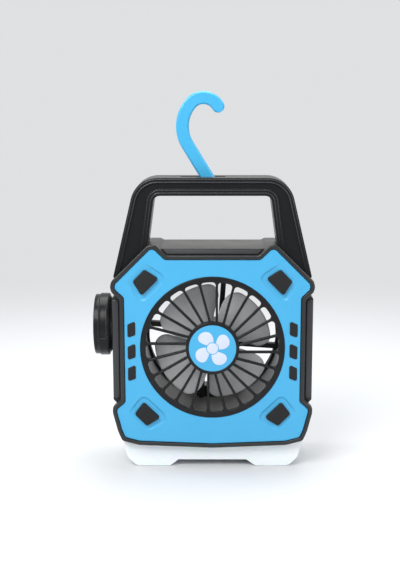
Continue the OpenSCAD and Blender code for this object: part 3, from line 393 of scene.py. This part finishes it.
def grille_spokes(material):
    """One cell's edge is a closed loop: up one skewed spoke, round two corners and back down the
    next. Loops of the cell grown by a quarter turn round the spokes' front edges, and the last one
    is joined to the spokes' middle lines and the rim. Turned 24 times, the loops make the whole
    grille."""
    step = 360 / spoke_count
    along, turn = np.linspace(0, 1, 8)[:, None], np.linspace(0, 1, 7)
    start_r, join_r, corner_steps = 23.4, cell_r + 1.6, 6
    front, spoke_edge_r, rim_edge_r, back_edge = panel_front - 0.6, 0.85, 0.7, 0.3
    side_share, border_share = 0.97, 0.9
    second_arc = slice(corner_steps + 1, 2 * corner_steps + 2)

    def cell(out):
        """The loop of a cell grown by out on every side, and the angle of its middle. Each round
        corner is taken from a four-point outline that closes near the centre."""
        side_a, side_b = spoke_wide / 2 - spoke_skew - out, -spoke_wide / 2 - spoke_skew + out
        r, radius = cell_r + out, cell_round + out
        middle = (np.degrees(np.arcsin(side_a / cell_r) + np.arcsin(side_b / cell_r)) + step) / 2
        low_a, low_b = beside(0, side_a, start_r), beside(step, side_b, start_r)
        top = r * at_angle(middle)
        loop = [low_a, beside(0, side_a, r), top, beside(step, side_b, r), low_b]
        corners = (np.array([loop[i - 1], loop[i], loop[i + 1], loop[i] * 0.2]) for i in (1, 3))
        arc_a, arc_b = (rounded(corner, radius, corner_steps)[second_arc] for corner in corners)
        up = low_a + (arc_a[0] - low_a) * along * side_share
        down = low_b + (arc_b[-1] - low_b) * along[::-1] * side_share
        return np.vstack([up, arc_a, [top], arc_b, down]), middle

    edge, middle = cell(0)
    low_a, low_b = (beside(a, -spoke_skew, start_r) for a in (0, step))
    high_a, high_b = (beside(a, -spoke_skew, join_r) for a in (0, step))
    up = low_a + (high_a - low_a) * along * border_share
    down = low_b + (high_b - low_b) * along[::-1] * border_share
    first, last = (np.degrees(np.arctan2(high[1], high[0])) for high in (high_a, high_b))
    rim_angles = np.concatenate([first + (middle - first) * turn * border_share, [middle],
                                 (last + (middle - last) * turn * border_share)[::-1]])
    border = np.vstack([up, join_r * at_angle(rim_angles), down])
    rows = [(border, front)]
    rows += [(cell(out)[0], d) for out, d in edge_arc(front, spoke_edge_r)[::-1]]
    rows += [(edge, seat_back - back_edge), (cell(back_edge)[0], seat_back), (border, seat_back)]
    x, d, z = np.moveaxis(np.stack([flat_at(loop, depth) for loop, depth in rows]), -1, 0)
    starts = np.arange(spoke_count) * step
    surfaces = [grid(np.stack([x * c - z * s, d, x * s + z * c + grille_z], -1), False)
                for c, s in at_angle(starts)]
    rim = [[join_r, front]] + turned_edge(grille_r, front, rim_edge_r) + [
        [grille_r, seat_back], [flange_r, seat_back], [flange_r, flange_back],
        [cell_r + 0.8, flange_back], [cell_r + 0.8, seat_back + 0.01], [join_r, seat_back]]
    surfaces.append(revolved(rim, (rim_angles[:-1] + starts[:, None]).ravel()))
    seat_r, bore_r, web_back = badge_r + turned_fit, 23, 2.4
    surfaces.append(revolved(
        [[0, badge_seat], [seat_r, badge_seat], [seat_r, badge_front + back_edge],
         [badge_r + 0.4, badge_front]] + turned_edge(hub_ring_r, badge_front, 0.8)
        + [[hub_ring_r, flange_back - back_edge], [hub_ring_r - back_edge, flange_back],
           [bore_r, flange_back], [bore_r, web_back], [0, web_back]]))
    put_in("grille_spokes", surfaces, "housing", ["grille"], material, 40)


def hub_disc(material):
    """The round badge: a flat disc with a rounded edge, turned from its profile."""
    profile = ([[0, badge_front]] + turned_edge(badge_r, badge_front, 0.6)
               + [[badge_r, badge_seat], [0, badge_seat]])
    put_in("hub_disc", [revolved(profile)], "housing", ["hub_badge"], material, 50)


def fan_sign(material):
    """The badge's generic fan sign: a disc, and four petals whose outline is a smooth closed curve
    through fourteen [radius, angle] points, with the neck to one side."""
    reach = np.array([6, 8, 11, 14, 16.6, 17.8, 17.6, 15.9, 13, 10, 7.8, 6.3, 5.9, 5.9])
    angle = np.array([58, 62.5, 64, 62, 53.5, 42, 28, 13.5, 3.5, -3, -6.5, -8, 12, 35])
    disc_r, front, back, soft = 5.2, -1.0, -0.6, 0.12
    knots, count = reach[:, None] * at_angle(angle), len(reach)
    step = np.linspace(0, count, 6 * count, endpoint=False)
    k, f = step.astype(int), (step % 1)[:, None]
    p0, p1, p2, p3 = (knots[(k + i) % count] for i in (-1, 0, 1, 2))
    petal = (2 * p1 + (p2 - p0) * f + (2 * p0 - 5 * p1 + 4 * p2 - p3) * f ** 2
             + (3 * p1 - p0 - 3 * p2 + p3) * f ** 3)[::-1] / 2
    outlines = [petal[:, :1] * at_angle(turn) + petal[:, 1:] * at_angle(turn + 90)
                for turn in (0, 90, 180, 270)]
    outlines.append(disc_r * at_angle(np.linspace(0, 360, 72, endpoint=False)))
    surfaces = [plate(outline + [0, grille_z], front, back, soft) for outline in outlines]
    put_in("fan_sign", surfaces, "housing", ["badge_symbol"], material, 50)


def fan_blades(material):
    """Each blade is a grid of radius and share u across it. The angle runs over the blade's sweep,
    cut in towards the tip by an elliptic corner, and leans on by a quarter of a degree for each
    millimetre of radius; over the last 13 mm the sweep narrows. Depth is a pitch in the angle plus
    a camber; thickness falls to nothing at the edges as the square root of the distance to
    them."""
    rows, columns, root_in = 30, 44, 1.2
    lead_cut, trail_cut, narrow_run, narrow_rate, lean = 13, 9, 13, 0.25, 0.25
    camber, thin_edge = 2.2, 0.9
    hub_front, hub_back, web_back = 15, 33, 17.4
    t = (1 - np.cos(np.linspace(0, np.pi, columns))) / 2
    root_r = fan_hub_r - root_in
    r = root_r + (fan_r - root_r) * np.sin(np.linspace(0, np.pi / 2, rows))
    r, u = np.meshgrid(r, t, indexing="ij")

    def cut(c):
        """How far the corner of radius c cuts into the tip, as an angle."""
        over = np.clip(1 - ((r - fan_r + c) / c) ** 2, 0, 1)
        return np.degrees(np.where(r <= fan_r - c, 0, c * (1 - np.sqrt(over))) / r)

    half = blade_sweep / 2 - np.maximum(0, r - fan_r + narrow_run) * narrow_rate
    lead, trail = half - cut(lead_cut), half - cut(trail_cut)
    a = -trail + (lead + trail) * u
    w = a / half
    depth = fan_depth + blade_span / 2 * w - camber * (1 - w * w)
    near = np.minimum(np.minimum(u, 1 - u) * np.radians(lead + trail) * r, fan_r - r)
    thick = blade_thick * np.sqrt(np.clip(near / thin_edge, 0, 1)) / 2
    swept = a + lean * (r - fan_hub_r) + fan_turn
    surfaces = []
    for k in range(blade_count):
        turned = np.radians(swept + 360 / blade_count * k)
        x, z = r * np.sin(turned), grille_z + r * np.cos(turned)
        front, back = (np.stack([x, depth + side * thick, z], -1) for side in (-1, 1))
        root = np.stack([front[0], back[0]])
        surfaces += [grid(face, False) for face in (front, back, root)]
    surfaces.append(revolved(
        [[0, hub_front]] + turned_edge(fan_hub_r, hub_front, 2.0)
        + [[fan_hub_r, hub_back], [fan_hub_r - 2.2, hub_back], [fan_hub_r - 2.2, web_back],
           [4.6, web_back], [4.6, hub_back], [1.6, hub_back], [1.6, web_back - 0.3],
           [0, web_back - 0.3]]))
    put_in("fan_blades", surfaces, "impeller", ["impeller"], material, 50)

# ------------------------------------------------------------------ hook, torch and handle


def hook_band(material):
    """A flat bevelled band carried along the hook's middle line: an arc over its top, a wider arc
    down its back, the straight shank and the eye. The band's half width closes to nothing as a
    half circle at both ends; its section is a rectangle with its four corners cut at 45
    degrees."""
    back_middle = hook_arc_middle + (hook_arc_r - hook_back_r) * at_angle(hook_turn_angle)
    pin = np.array([0, pin_z])
    to_back = back_middle - pin
    lean = np.degrees(np.arctan2(to_back[1], to_back[0])
                      + np.arcsin(hook_back_r / np.linalg.norm(to_back)))
    half, h, cut = hook_wide / 2, hook_thick / 2, 1.5
    end = np.linspace(0, np.pi / 2, 10)
    tip_out = at_angle(hook_tip_angle)
    tip = hook_arc_middle + hook_arc_r * tip_out
    forward = at_angle(hook_tip_angle - 90) * half
    parts = [(tip + forward * np.cos(end)[:, None], np.repeat(tip_out[None], 10, 0),
              half * np.sin(end))]
    for middle, r, start, stop, steps in (
            (hook_arc_middle, hook_arc_r, hook_tip_angle, hook_turn_angle, 30),
            (back_middle, hook_back_r, hook_turn_angle, lean + 90, 22)):
        out = at_angle(np.linspace(start, stop, steps)[1:])
        parts.append((middle + r * out, out, np.full(steps - 1, half)))
    out, low = at_angle(lean + 90)[None], parts[-1][0][-1]
    share = np.linspace(0, 1, 9)[1:, None]
    parts.append((low + (pin - low) * share, np.repeat(out, 8, 0), np.full(8, half)))
    down = -at_angle(lean) * half
    parts.append((pin + down * np.sin(end[1:])[:, None], np.repeat(out, 9, 0),
                  half * np.cos(end[1:])))
    line, out, wide = (np.concatenate([part[i] for part in parts]) for i in range(3))
    section = np.array([[-1, h - cut], [-1, cut - h], [0, -h], [0, -h],
                        [1, cut - h], [1, h - cut], [0, h], [0, h]])
    flat_share = np.array([0, 0, -1, 1, 0, 0, 1, -1.0])
    across = section[:, 0] * wide[:, None] + np.maximum(wide - cut, 0)[:, None] * flat_share
    points = line[:, None] + out[:, None] * across[..., None]
    band = grid(flat_at(points, handle_mid + section[:, 1]))
    put_in("hook_band", [band], "hook", ["hook"], material, 30, 0.25)


def torch_skin(name, nodes, profile, material, sunk=None):
    """A profile of [t, radius] points turned about the torch's axis, t outwards from the side bar.
    Where sunk is given as [deep, t0, t1, outer radius], hollows of 63 degrees are pressed into its
    front and back, 16 degrees up, with soft ends: the radius loses deep times a mask in the angle
    and the length."""
    hollow_angle, raised, soft = 63, 16, 0.5
    turn = np.linspace(0, 360, 360, endpoint=False)
    profile = np.array(profile, float)
    t, r = np.broadcast_arrays(profile[:, :1], profile[:, 1:] + 0 * turn)
    if sunk:
        deep, t0, t1, outer = sunk
        ends = smooth_step(hollow_angle / 2 - np.abs((turn - raised) % 180 - 90) + soft)
        length = smooth_step((t - t0) / soft) * smooth_step((t1 - t) / soft)
        r = r - deep * ends * length * (profile[:, 1:] > outer - 0.1)
    around = r[..., None] * at_angle(90 - turn)
    ring = np.stack([-bar_half - t, torch_depth + around[..., 0], torch_z + around[..., 1]], -1)
    put_in(name, [grid(ring, True, True)], "housing", nodes, material, 40)


def torch_barrel(material):
    """Flared neck, dark groove, drum with its hollows, and the wall that holds the reflector."""
    drum_r, bore_r, wall_r, core_r = 29.6, 26.46, 21.1, 3.0
    drum = np.linspace(5.3, 12.1, 28)[:, None] * [1, 0] + [0, drum_r]
    profile = np.vstack([
        [[-0.4, core_r], [-0.4, 24.3], [0.6, 24.3], [3.2, 26.4], [3.4, 27.2], [3.9, 27.4],
         [4.0, 28.6], [4.4, 29.3]], drum,
        [[12.6, 29.3], [12.9, 28.8], [12.9, bore_r], [7.6, bore_r], [3.8, wall_r], [1.9, wall_r],
         [1.9, core_r]]])
    torch_skin("torch_barrel", ["torch_housing"], profile, material, (0.8, 6.0, 11.5, drum_r))


def torch_rim(material):
    """The bezel: a rounded ring with a sloping inner lip over the lens."""
    profile = [[12.92, 28.2], [13.2, 28.6], [16.7, 28.6], [17.25, 28.35], [17.5, 27.8],
               [17.5, 25.6], [17.2, 24.9], [16.2, 24.25], [14.72, 24.25], [14.72, 26.44],
               [12.92, 26.44]]
    torch_skin("torch_rim", ["torch_bezel"], profile, material)


def handle_line(inset, grip=False):
    """The handle's outer line moved in, or its grip line moved out, from the right foot over the
    bar to the left foot; it ends where it meets the ears' sloping edges."""
    half, top, slope, corner_r = (53.5, 258.7, 0.13347, 6) if grip else (70.1, 275.0, 0.24009, 25)
    out, drop, ear_line = inset if grip else -inset, 150, 274.9
    foot = half + drop * slope
    corners = np.array([[foot, top - drop], [half, top], [-half, top], [-foot, top - drop]])
    corners, steps = grow(corners, out), 12
    line = rounded(corners, corner_r + out, steps)[steps + 1:3 * (steps + 1)]
    below, end = corners[0], line[0]
    share = (ear_line - end.sum()) / (below - end).sum()
    foot = end + (below - end) * share
    return np.vstack([foot, line, foot * [-1, 1]])


def bead_along(line, depth, outward, wide, high):
    """A half-round bead on a flat face: half an ellipse stands on the line, square to it, and
    closes to nothing at both ends."""
    ahead = unit(np.gradient(line, axis=0))
    across = np.stack([ahead[:, 1], -ahead[:, 0]], 1)
    a = np.linspace(0, np.pi, 9)
    size = np.ones(len(line))[:, None]
    size[[0, -1]] = 0.02
    points = line[:, None] + across[:, None] * (np.cos(a) * wide / 2 * size)[..., None]
    return grid(flat_at(points, depth + outward * (np.sin(a) * high * size - 0.05)))


def handle_beads(material):
    """Raised lines on both faces of the handle: two inside its outer rim, two round the grip."""
    beads = ((1.3, False, 0.9, 0.4), (3.9, False, 1.1, 0.6),
             (2.6, True, 1.1, 0.6), (5.2, True, 0.9, 0.6))
    surfaces = [bead_along(handle_line(inset, grip), depth, outward, wide, high)
                for depth, outward in zip(handle_faces, (-1, 1))
                for inset, grip, wide, high in beads]
    put_in("handle_beads", surfaces, "housing", [], material, 60)

# ------------------------------------------------------------------ shader nodes


def new_group(name, inputs, outputs):
    """An empty shader node group: inputs have a name, a socket type and a start value."""
    group = bpy.data.node_groups.new(name, "ShaderNodeTree")
    for label, kind, start in inputs:
        socket = group.interface.new_socket(label, in_out="INPUT", socket_type="NodeSocket" + kind)
        socket.default_value = start
    for label, kind in outputs:
        group.interface.new_socket(label, in_out="OUTPUT", socket_type="NodeSocket" + kind)
    return group, group.nodes.new("NodeGroupInput"), group.nodes.new("NodeGroupOutput")


def fresh_tree(data):
    """The shader nodes of a new material or world."""
    data.use_nodes = True
    return data.node_tree


def feed(tree, socket, value):
    """Links a socket's value, or sets a plain one."""
    if isinstance(value, bpy.types.NodeSocket):
        tree.links.new(value, socket)
    else:
        socket.default_value = value


def node(tree, kind, **settings):
    """A node with its settings; inputs are given as in_0, in_Scale and so on."""
    made = tree.nodes.new("ShaderNode" + kind)
    inputs = {key[3:]: value for key, value in settings.items() if key.startswith("in_")}
    for key, value in settings.items():
        if not key.startswith("in_"):
            setattr(made, key, value)
    for label, value in inputs.items():
        feed(tree, made.inputs[int(label) if label.isdigit() else label.replace("_", " ")], value)
    return made


def maths(tree, operation, a, b, clamp=False):
    """The result of a sum on two values."""
    return node(tree, "Math", operation=operation, use_clamp=clamp, in_0=a, in_1=b).outputs[0]


def mixed(tree, factor, a, b):
    """A colour between a and b."""
    return node(tree, "Mix", data_type="RGBA", in_0=factor, in_6=a, in_7=b).outputs[2]


def placed(tree, group, **values):
    """A node group set into a tree, and its outputs."""
    made = tree.nodes.new("ShaderNodeGroup")
    made.node_tree = group
    for key, value in values.items():
        feed(tree, made.inputs[key.replace("_", " ")], value)
    return made.outputs


def colour(r, g, b):
    """A colour with full opacity."""
    return (r, g, b, 1.0)


def noise(tree, scale, **settings):
    """Noise in the object's own space."""
    place = node(tree, "TexCoord").outputs["Object"]
    return node(tree, "TexNoise", in_Vector=place, in_Scale=scale, **settings).outputs[0]


def make_moulded_finish():
    """The skin of a moulding: wide soft clouds shift its colour and gloss a little, and a fine
    grain makes its height."""
    group, start, end = new_group("moulded_finish", [
        ("Color", "Color", colour(.5, .5, .5)), ("Cloud Color", "Color", colour(.5, .5, .5)),
        ("Clouds", "Float", .3), ("Gloss", "Float", .4), ("Gloss Swing", "Float", .1),
        ("Grain", "Float", 1800)],
        [("Color", "Color"), ("Roughness", "Float"), ("Height", "Float")])
    given = start.outputs
    clouds = noise(group, 22.0, in_Detail=3.0, in_Roughness=0.6)
    grain = noise(group, given["Grain"], in_Detail=2.0)
    shift = maths(group, "MULTIPLY", maths(group, "SUBTRACT", clouds, 0.35), 2.2, True)
    factor = maths(group, "MULTIPLY", shift, given["Clouds"])
    swing = maths(group, "MULTIPLY", maths(group, "SUBTRACT", clouds, 0.5), given["Gloss Swing"])
    feed(group, end.inputs["Color"], mixed(group, factor, given["Color"], given["Cloud Color"]))
    feed(group, end.inputs["Roughness"], maths(group, "ADD", given["Gloss"], swing, True))
    feed(group, end.inputs["Height"], grain)
    return group


def veiled(name, over, amount, make_mask):
    """A node group that mixes one colour over another by a mask times an amount, and gives the
    mask."""
    group, start, end = new_group(name, [
        ("Color", "Color", colour(.5, .5, .5)), (over, "Color", colour(.5, .5, .5)),
        ("Amount", "Float", amount)], [("Color", "Color"), ("Mask", "Float")])
    given = start.outputs
    mask = maths(group, "MULTIPLY", make_mask(group), given["Amount"], True)
    feed(group, end.inputs["Color"], mixed(group, mask, given["Color"], given[over]))
    feed(group, end.inputs["Mask"], mask)
    return group


def rub_and_highlight_mask(group):
    """Edges that stick out are painted a little paler, partly as rubbed wear and partly as a
    painted
    highlight: one minus the dot product of the normal and the normal of a 0.7 mm rounding, kept
    where the mesh is convex, and broken up by noise."""
    rounding, edge_gain, flat_point, convex_gain, least = 0.0007, 7.0, 0.49, 20.0, .35
    surface = node(group, "NewGeometry").outputs
    round_off = node(group, "Bevel", samples=6, in_Radius=rounding).outputs[0]
    same = node(group, "VectorMath", operation="DOT_PRODUCT", in_0=round_off,
                in_1=surface["Normal"])
    apart = maths(group, "SUBTRACT", 1.0, same.outputs["Value"])
    edge = maths(group, "MULTIPLY", apart, edge_gain, True)
    outwards = maths(group, "SUBTRACT", surface["Pointiness"], flat_point)
    convex = maths(group, "MULTIPLY", outwards, convex_gain, True)
    broken = maths(group, "ADD", noise(group, 160.0, in_Detail=4.0), least, True)
    return maths(group, "MULTIPLY", maths(group, "MULTIPLY", edge, convex), broken)


def dust_mask(group):
    """Faces that look up carry a thin, uneven veil of dust: the upward part of the normal times
    noise."""
    steepest, gain = 0.45, 1.8
    normal = node(group, "NewGeometry").outputs["Normal"]
    up = maths(group, "SUBTRACT", node(group, "SeparateXYZ", in_0=normal).outputs["Z"], steepest)
    return maths(group, "MULTIPLY", maths(group, "MULTIPLY", up, gain, True),
                 noise(group, 60.0, in_Detail=5.0))


moulded_finish = make_moulded_finish()
# Convex edges painted paler: partly rubbed wear, partly a painted highlight.
rub_and_highlight_edges = veiled("rub_and_highlight_edges", "Rubbed Color", .4, rub_and_highlight_mask)
settled_dust = veiled("settled_dust", "Dust Color", .2, dust_mask)
dust_colour = colour(.45, .43, .38)

# ------------------------------------------------------------------ materials


def make_material(name, base, cloud, gloss, swing=0.08, grain=1800.0, bump=0.02, rub=None,
                  dust=0.0, **shader):
    """A moulded or metal finish: clouds and grain, edges painted paler as rubbed wear and painted
    highlight, and dust feed one Principled shader whose own sockets hold everything that is the
    same all over."""
    rub_and_highlight_amount, cloudiness, dust_matt, relief_strength = 0.5, 0.5, 0.4, 0.35
    made = bpy.data.materials.new(name)
    tree = fresh_tree(made)
    surface = tree.nodes["Principled BSDF"].inputs
    skin = placed(tree, moulded_finish, Color=colour(*base), Cloud_Color=colour(*cloud),
                  Clouds=cloudiness, Gloss=gloss, Gloss_Swing=swing, Grain=grain)
    tint, rough = skin["Color"], skin["Roughness"]
    if rub:
        rubbed_and_highlit = placed(tree, rub_and_highlight_edges, Color=tint, Rubbed_Color=colour(*rub), Amount=rub_and_highlight_amount)
        tint = rubbed_and_highlit["Color"]
    if dust:
        veil = placed(tree, settled_dust, Color=tint, Dust_Color=dust_colour, Amount=dust)
        tint = veil["Color"]
        rough = maths(tree, "ADD", rough, maths(tree, "MULTIPLY", veil["Mask"], dust_matt), True)
    relief = node(tree, "Bump", in_Strength=relief_strength, in_Distance=bump / 1000,
                  in_Height=skin["Height"])
    feed(tree, surface["Base Color"], tint)
    feed(tree, surface["Roughness"], rough)
    feed(tree, surface["Normal"], relief.outputs[0])
    for key, value in shader.items():
        surface[key.replace("_", " ")].default_value = value
    return made


# The edge colours given in these finishes are painted on convex edges: partly rubbed wear, partly
# a painted highlight.
finishes = {
    "body_black": dict(base=(.014, .0142, .015), cloud=(.019, .0193, .0205), gloss=.38,
                       rub=(.06, .06, .063), dust=.2, Specular_IOR_Level=.36),
    # A lighter black than body_black: painted sheen, so the deck strip and side bar faces look
    # lit.
    "painted_sheen_black": dict(base=(.027, .028, .031), cloud=(.036, .037, .041), gloss=.32),
    "frame_black": dict(base=(.013, .0132, .014), cloud=(.018, .0183, .0193), gloss=.30,
                        rub=(.12, .12, .125), Specular_IOR_Level=.45),
    "handle_black": dict(base=(.006, .0063, .0072), cloud=(.010, .0104, .0115), gloss=.33,
                         rub=(.08, .08, .084), dust=.15, Specular_IOR_Level=.2),
    # Lighter and glossier than handle_black: a painted highlight along the handle's raised lines.
    "painted_highlight_black": dict(base=(.022, .0225, .024), cloud=(.030, .0305, .032), gloss=.24,
                       Specular_IOR_Level=.6),
    "grille_black": dict(base=(.008, .0082, .009), cloud=(.012, .0123, .0132), gloss=.27,
                         rub=(.07, .07, .074), Specular_IOR_Level=.22),
    "torch_black": dict(base=(.008, .0082, .009), cloud=(.012, .0123, .0132), gloss=.26,
                        rub=(.30, .30, .303), Specular_IOR_Level=.18),
    "pad_black": dict(base=(.013, .0132, .014), cloud=(.019, .0193, .0205), gloss=.55, grain=900.0,
                      bump=.08, rub=(.08, .08, .085), Specular_IOR_Level=.22),
    "panel_blue": dict(base=(.051, .37, .65), cloud=(.063, .40, .69), gloss=.38, swing=.06,
                       rub=(.25, .65, .95)),
    "hook_blue": dict(base=(.045, .375, .65), cloud=(.057, .405, .69), gloss=.34, swing=.06,
                      rub=(.35, .72, .97)),
    "symbol_white": dict(base=(.56, .62, .73), cloud=(.61, .66, .76), gloss=.42),
    "lantern_white": dict(base=(.87, .895, .92), cloud=(.90, .92, .94), gloss=.36, swing=.05,
                          bump=.01, dust=.08, Subsurface_Weight=.35, Subsurface_Scale=.004),
    "blade_grey": dict(base=(.47, .475, .475), cloud=(.53, .535, .535), gloss=.30, swing=.06,
                       rub=(.4, .41, .43)),
    "plated_steel": dict(base=(.52, .53, .55), cloud=(.60, .61, .63), gloss=.28, swing=.12,
                         grain=900.0, Metallic=1.0),
    "turned_brass": dict(base=(.65, .46, .20), cloud=(.72, .54, .27), gloss=.30, swing=.1,
                         grain=900.0, Metallic=1.0),
    "sintered_magnet": dict(base=(.10, .10, .11), cloud=(.15, .15, .155), gloss=.55, grain=700.0,
                            bump=.08, Metallic=.6),
    "bright_reflector": dict(base=(.86, .86, .87), cloud=(.90, .90, .91), gloss=.07, swing=.03,
                             Metallic=1.0),
    "clear_window": dict(base=(.95, .97, .98), cloud=(.97, .98, .99), gloss=.03, swing=.02,
                         bump=.002, Transmission_Weight=1.0, IOR=1.49),
    "lamp_yellow": dict(base=(.86, .76, .28), cloud=(.92, .84, .42), gloss=.40, grain=2500.0,
                        bump=.03),
    "green_board": dict(base=(.02, .12, .05), cloud=(.03, .16, .07), gloss=.42, grain=500.0,
                        bump=.05),
    "white_board": dict(base=(.78, .80, .78), cloud=(.84, .85, .83), gloss=.45, grain=500.0,
                        bump=.03),
    "cell_sleeve": dict(base=(.03, .16, .09), cloud=(.04, .20, .11), gloss=.38),
    "button_grey": dict(base=(.055, .056, .060), cloud=(.070, .071, .075), gloss=.50,
                        grain=1100.0, bump=.05),
    "flap_rubber": dict(base=(.024, .024, .025), cloud=(.032, .032, .033), gloss=.70,
                        grain=1100.0, bump=.08),
}
paint = {name: make_material(name, **settings) for name, settings in finishes.items()}

# ------------------------------------------------------------------ the dressed fan
pieces = (
    (bumper_frame, "frame_black"), (blue_front, "panel_blue"), (grille_spokes, "grille_black"),
    (hub_disc, "panel_blue"), (fan_blades, "blade_grey"), (hook_band, "hook_blue"),
    (torch_barrel, "torch_black"), (torch_rim, "torch_black"), (handle_beads, "painted_highlight_black"),
    (deck_front_strip, "painted_sheen_black"), (bar_trims, "painted_sheen_black"), (corner_plates, "pad_black"),
    (side_plates, "pad_black"), (fan_sign, "symbol_white"))
for build, finish in pieces:
    build(paint[finish])

dressed_nodes = (
    ("mid_housing rear_cover battery_door", "body_black", 0.7),
    ("motor_mount motor_end_cap battery_holder", "body_black", 0.4),
    ("handle_front handle_rear", "handle_black", 0.8),
    ("lantern_diffuser", "lantern_white", 1.2),
    ("fan_button light_button", "button_grey", 0.4),
    ("frame_screws housing_screws handle_screws leg_screws base_screws door_screws motor_screws "
     "motor_shaft motor_rotor motor_can hook_pin battery_contacts charge_socket",
     "plated_steel", 0.15),
    ("shaft_collar motor_bushes", "turned_brass", 0.2),
    ("motor_magnets", "sintered_magnet", 0.2),
    ("torch_reflector", "bright_reflector", 0.1),
    ("torch_lens", "clear_window", 0.2),
    ("torch_led lantern_leds", "lamp_yellow", 0.2),
    ("torch_board control_board", "green_board", 0.1),
    ("lantern_board", "white_board", 0.1),
    ("battery_cells", "cell_sleeve", 0.5),
    ("port_cover", "flap_rubber", 0.25))
for names, finish, edge_width in dressed_nodes:
    dress(names, paint[finish], edge_width)

# ------------------------------------------------------------------ floor, light, camera
background = colour(.74, .75, .76)


def mirror_like_rays(tree):
    """One for rays from the camera, a gloss or a lens, nought for the light on matt surfaces."""
    path = node(tree, "LightPath").outputs
    through = maths(tree, "MAXIMUM", path["Is Glossy Ray"], path["Is Transmission Ray"])
    return maths(tree, "MAXIMUM", path["Is Camera Ray"], through)


def pale_floor():
    """A plain disc of floor just under Z = 0. Near the fan it is a lit, matt surface that takes
    the shadow; from 0.35 to 1.1 m out, rays from the camera see it fade into the plain
    background."""
    rings, drop = np.array([0.0, 0.4, 1.5, 9.0]), -0.0002
    rim = at_angle(np.linspace(0, 360, 96, endpoint=False)) * rings[:, None, None]
    points, faces = grid(np.concatenate([rim, np.full(rim.shape[:2] + (1,), drop)], -1))
    mesh = bpy.data.meshes.new("pale_floor")
    mesh.from_pydata(points.tolist(), [], faces.tolist())
    floor = bpy.data.objects.new("pale_floor", mesh)
    bpy.context.scene.collection.objects.link(floor)
    made = bpy.data.materials.new("floor_paint")
    tree = fresh_tree(made)
    surface = tree.nodes["Principled BSDF"]
    tint = mixed(tree, noise(tree, 3.0), colour(.60, .61, .62), colour(.63, .64, .65))
    feed(tree, surface.inputs["Base Color"], tint)
    surface.inputs["Roughness"].default_value = .8
    place = node(tree, "TexCoord").outputs["Object"]
    far = node(tree, "VectorMath", operation="LENGTH", in_0=place).outputs["Value"]
    fade = node(tree, "MapRange", interpolation_type="SMOOTHSTEP", in_Value=far, in_From_Min=.35,
                in_From_Max=1.1).outputs[0]
    glow = node(tree, "Emission", in_Color=background, in_Strength=1.0)
    both = node(tree, "MixShader", in_0=maths(tree, "MULTIPLY", fade, mirror_like_rays(tree)),
                in_1=surface.outputs[0], in_2=glow.outputs[0])
    feed(tree, tree.nodes["Material Output"].inputs["Surface"], both.outputs[0])
    mesh.materials.append(made)


def pale_surroundings():
    """Even grey light on everything, and the plain background where the camera, a gloss or a lens
    looks past the fan."""
    world = bpy.data.worlds.new("pale_surroundings")
    tree = fresh_tree(world)
    bpy.context.scene.world = world
    light = tree.nodes["Background"]
    light.inputs["Color"].default_value = colour(.93, .96, 1.0)
    light.inputs["Strength"].default_value = 0.46
    seen = node(tree, "Background", in_Color=background, in_Strength=1.0)
    both = node(tree, "MixShader", in_0=mirror_like_rays(tree), in_1=light.outputs[0],
                in_2=seen.outputs[0])
    feed(tree, tree.nodes["World Output"].inputs["Surface"], both.outputs[0])


def soft_light(name, place, target_z, size, watts):
    """A square lamp that looks at the point above the origin at target_z."""
    lamp = bpy.data.lights.new(name, "AREA")
    lamp.energy, lamp.size = watts, size
    holder = bpy.data.objects.new(name, lamp)
    holder.location = place
    aim = Vector((0, 0, target_z)) - Vector(place)
    holder.rotation_euler = aim.to_track_quat("-Z", "Y").to_euler()
    bpy.context.scene.collection.objects.link(holder)


pale_floor()
pale_surroundings()
soft_light("key_light", (-0.45, -0.75, 1.0), 0.15, 0.7, 13)
soft_light("sky_light", (0.1, 0.35, 1.5), 0.2, 1.1, 20)
soft_light("fill_light", (1.1, -0.9, 0.6), 0.15, 0.9, 5)
soft_light("left_rim_light", (-1.2, 0.2, 1.2), 0.2, 0.5, 5)
soft_light("right_rim_light", (1.2, 0.3, 1.1), 0.2, 0.5, 2.5)

camera_place, camera_tilt = (0, -0.988, 0.3545), 79
lens = bpy.data.cameras.new("camera")
lens.lens, lens.shift_x, lens.shift_y, lens.clip_start = 66.4, -0.0220, 0.0145, 0.01
camera = bpy.data.objects.new("camera", lens)
camera.location, camera.rotation_euler = camera_place, (math.radians(camera_tilt), 0, 0)
bpy.context.scene.collection.objects.link(camera)
bpy.context.scene.camera = camera
bpy.context.scene.view_settings.view_transform = "Standard"
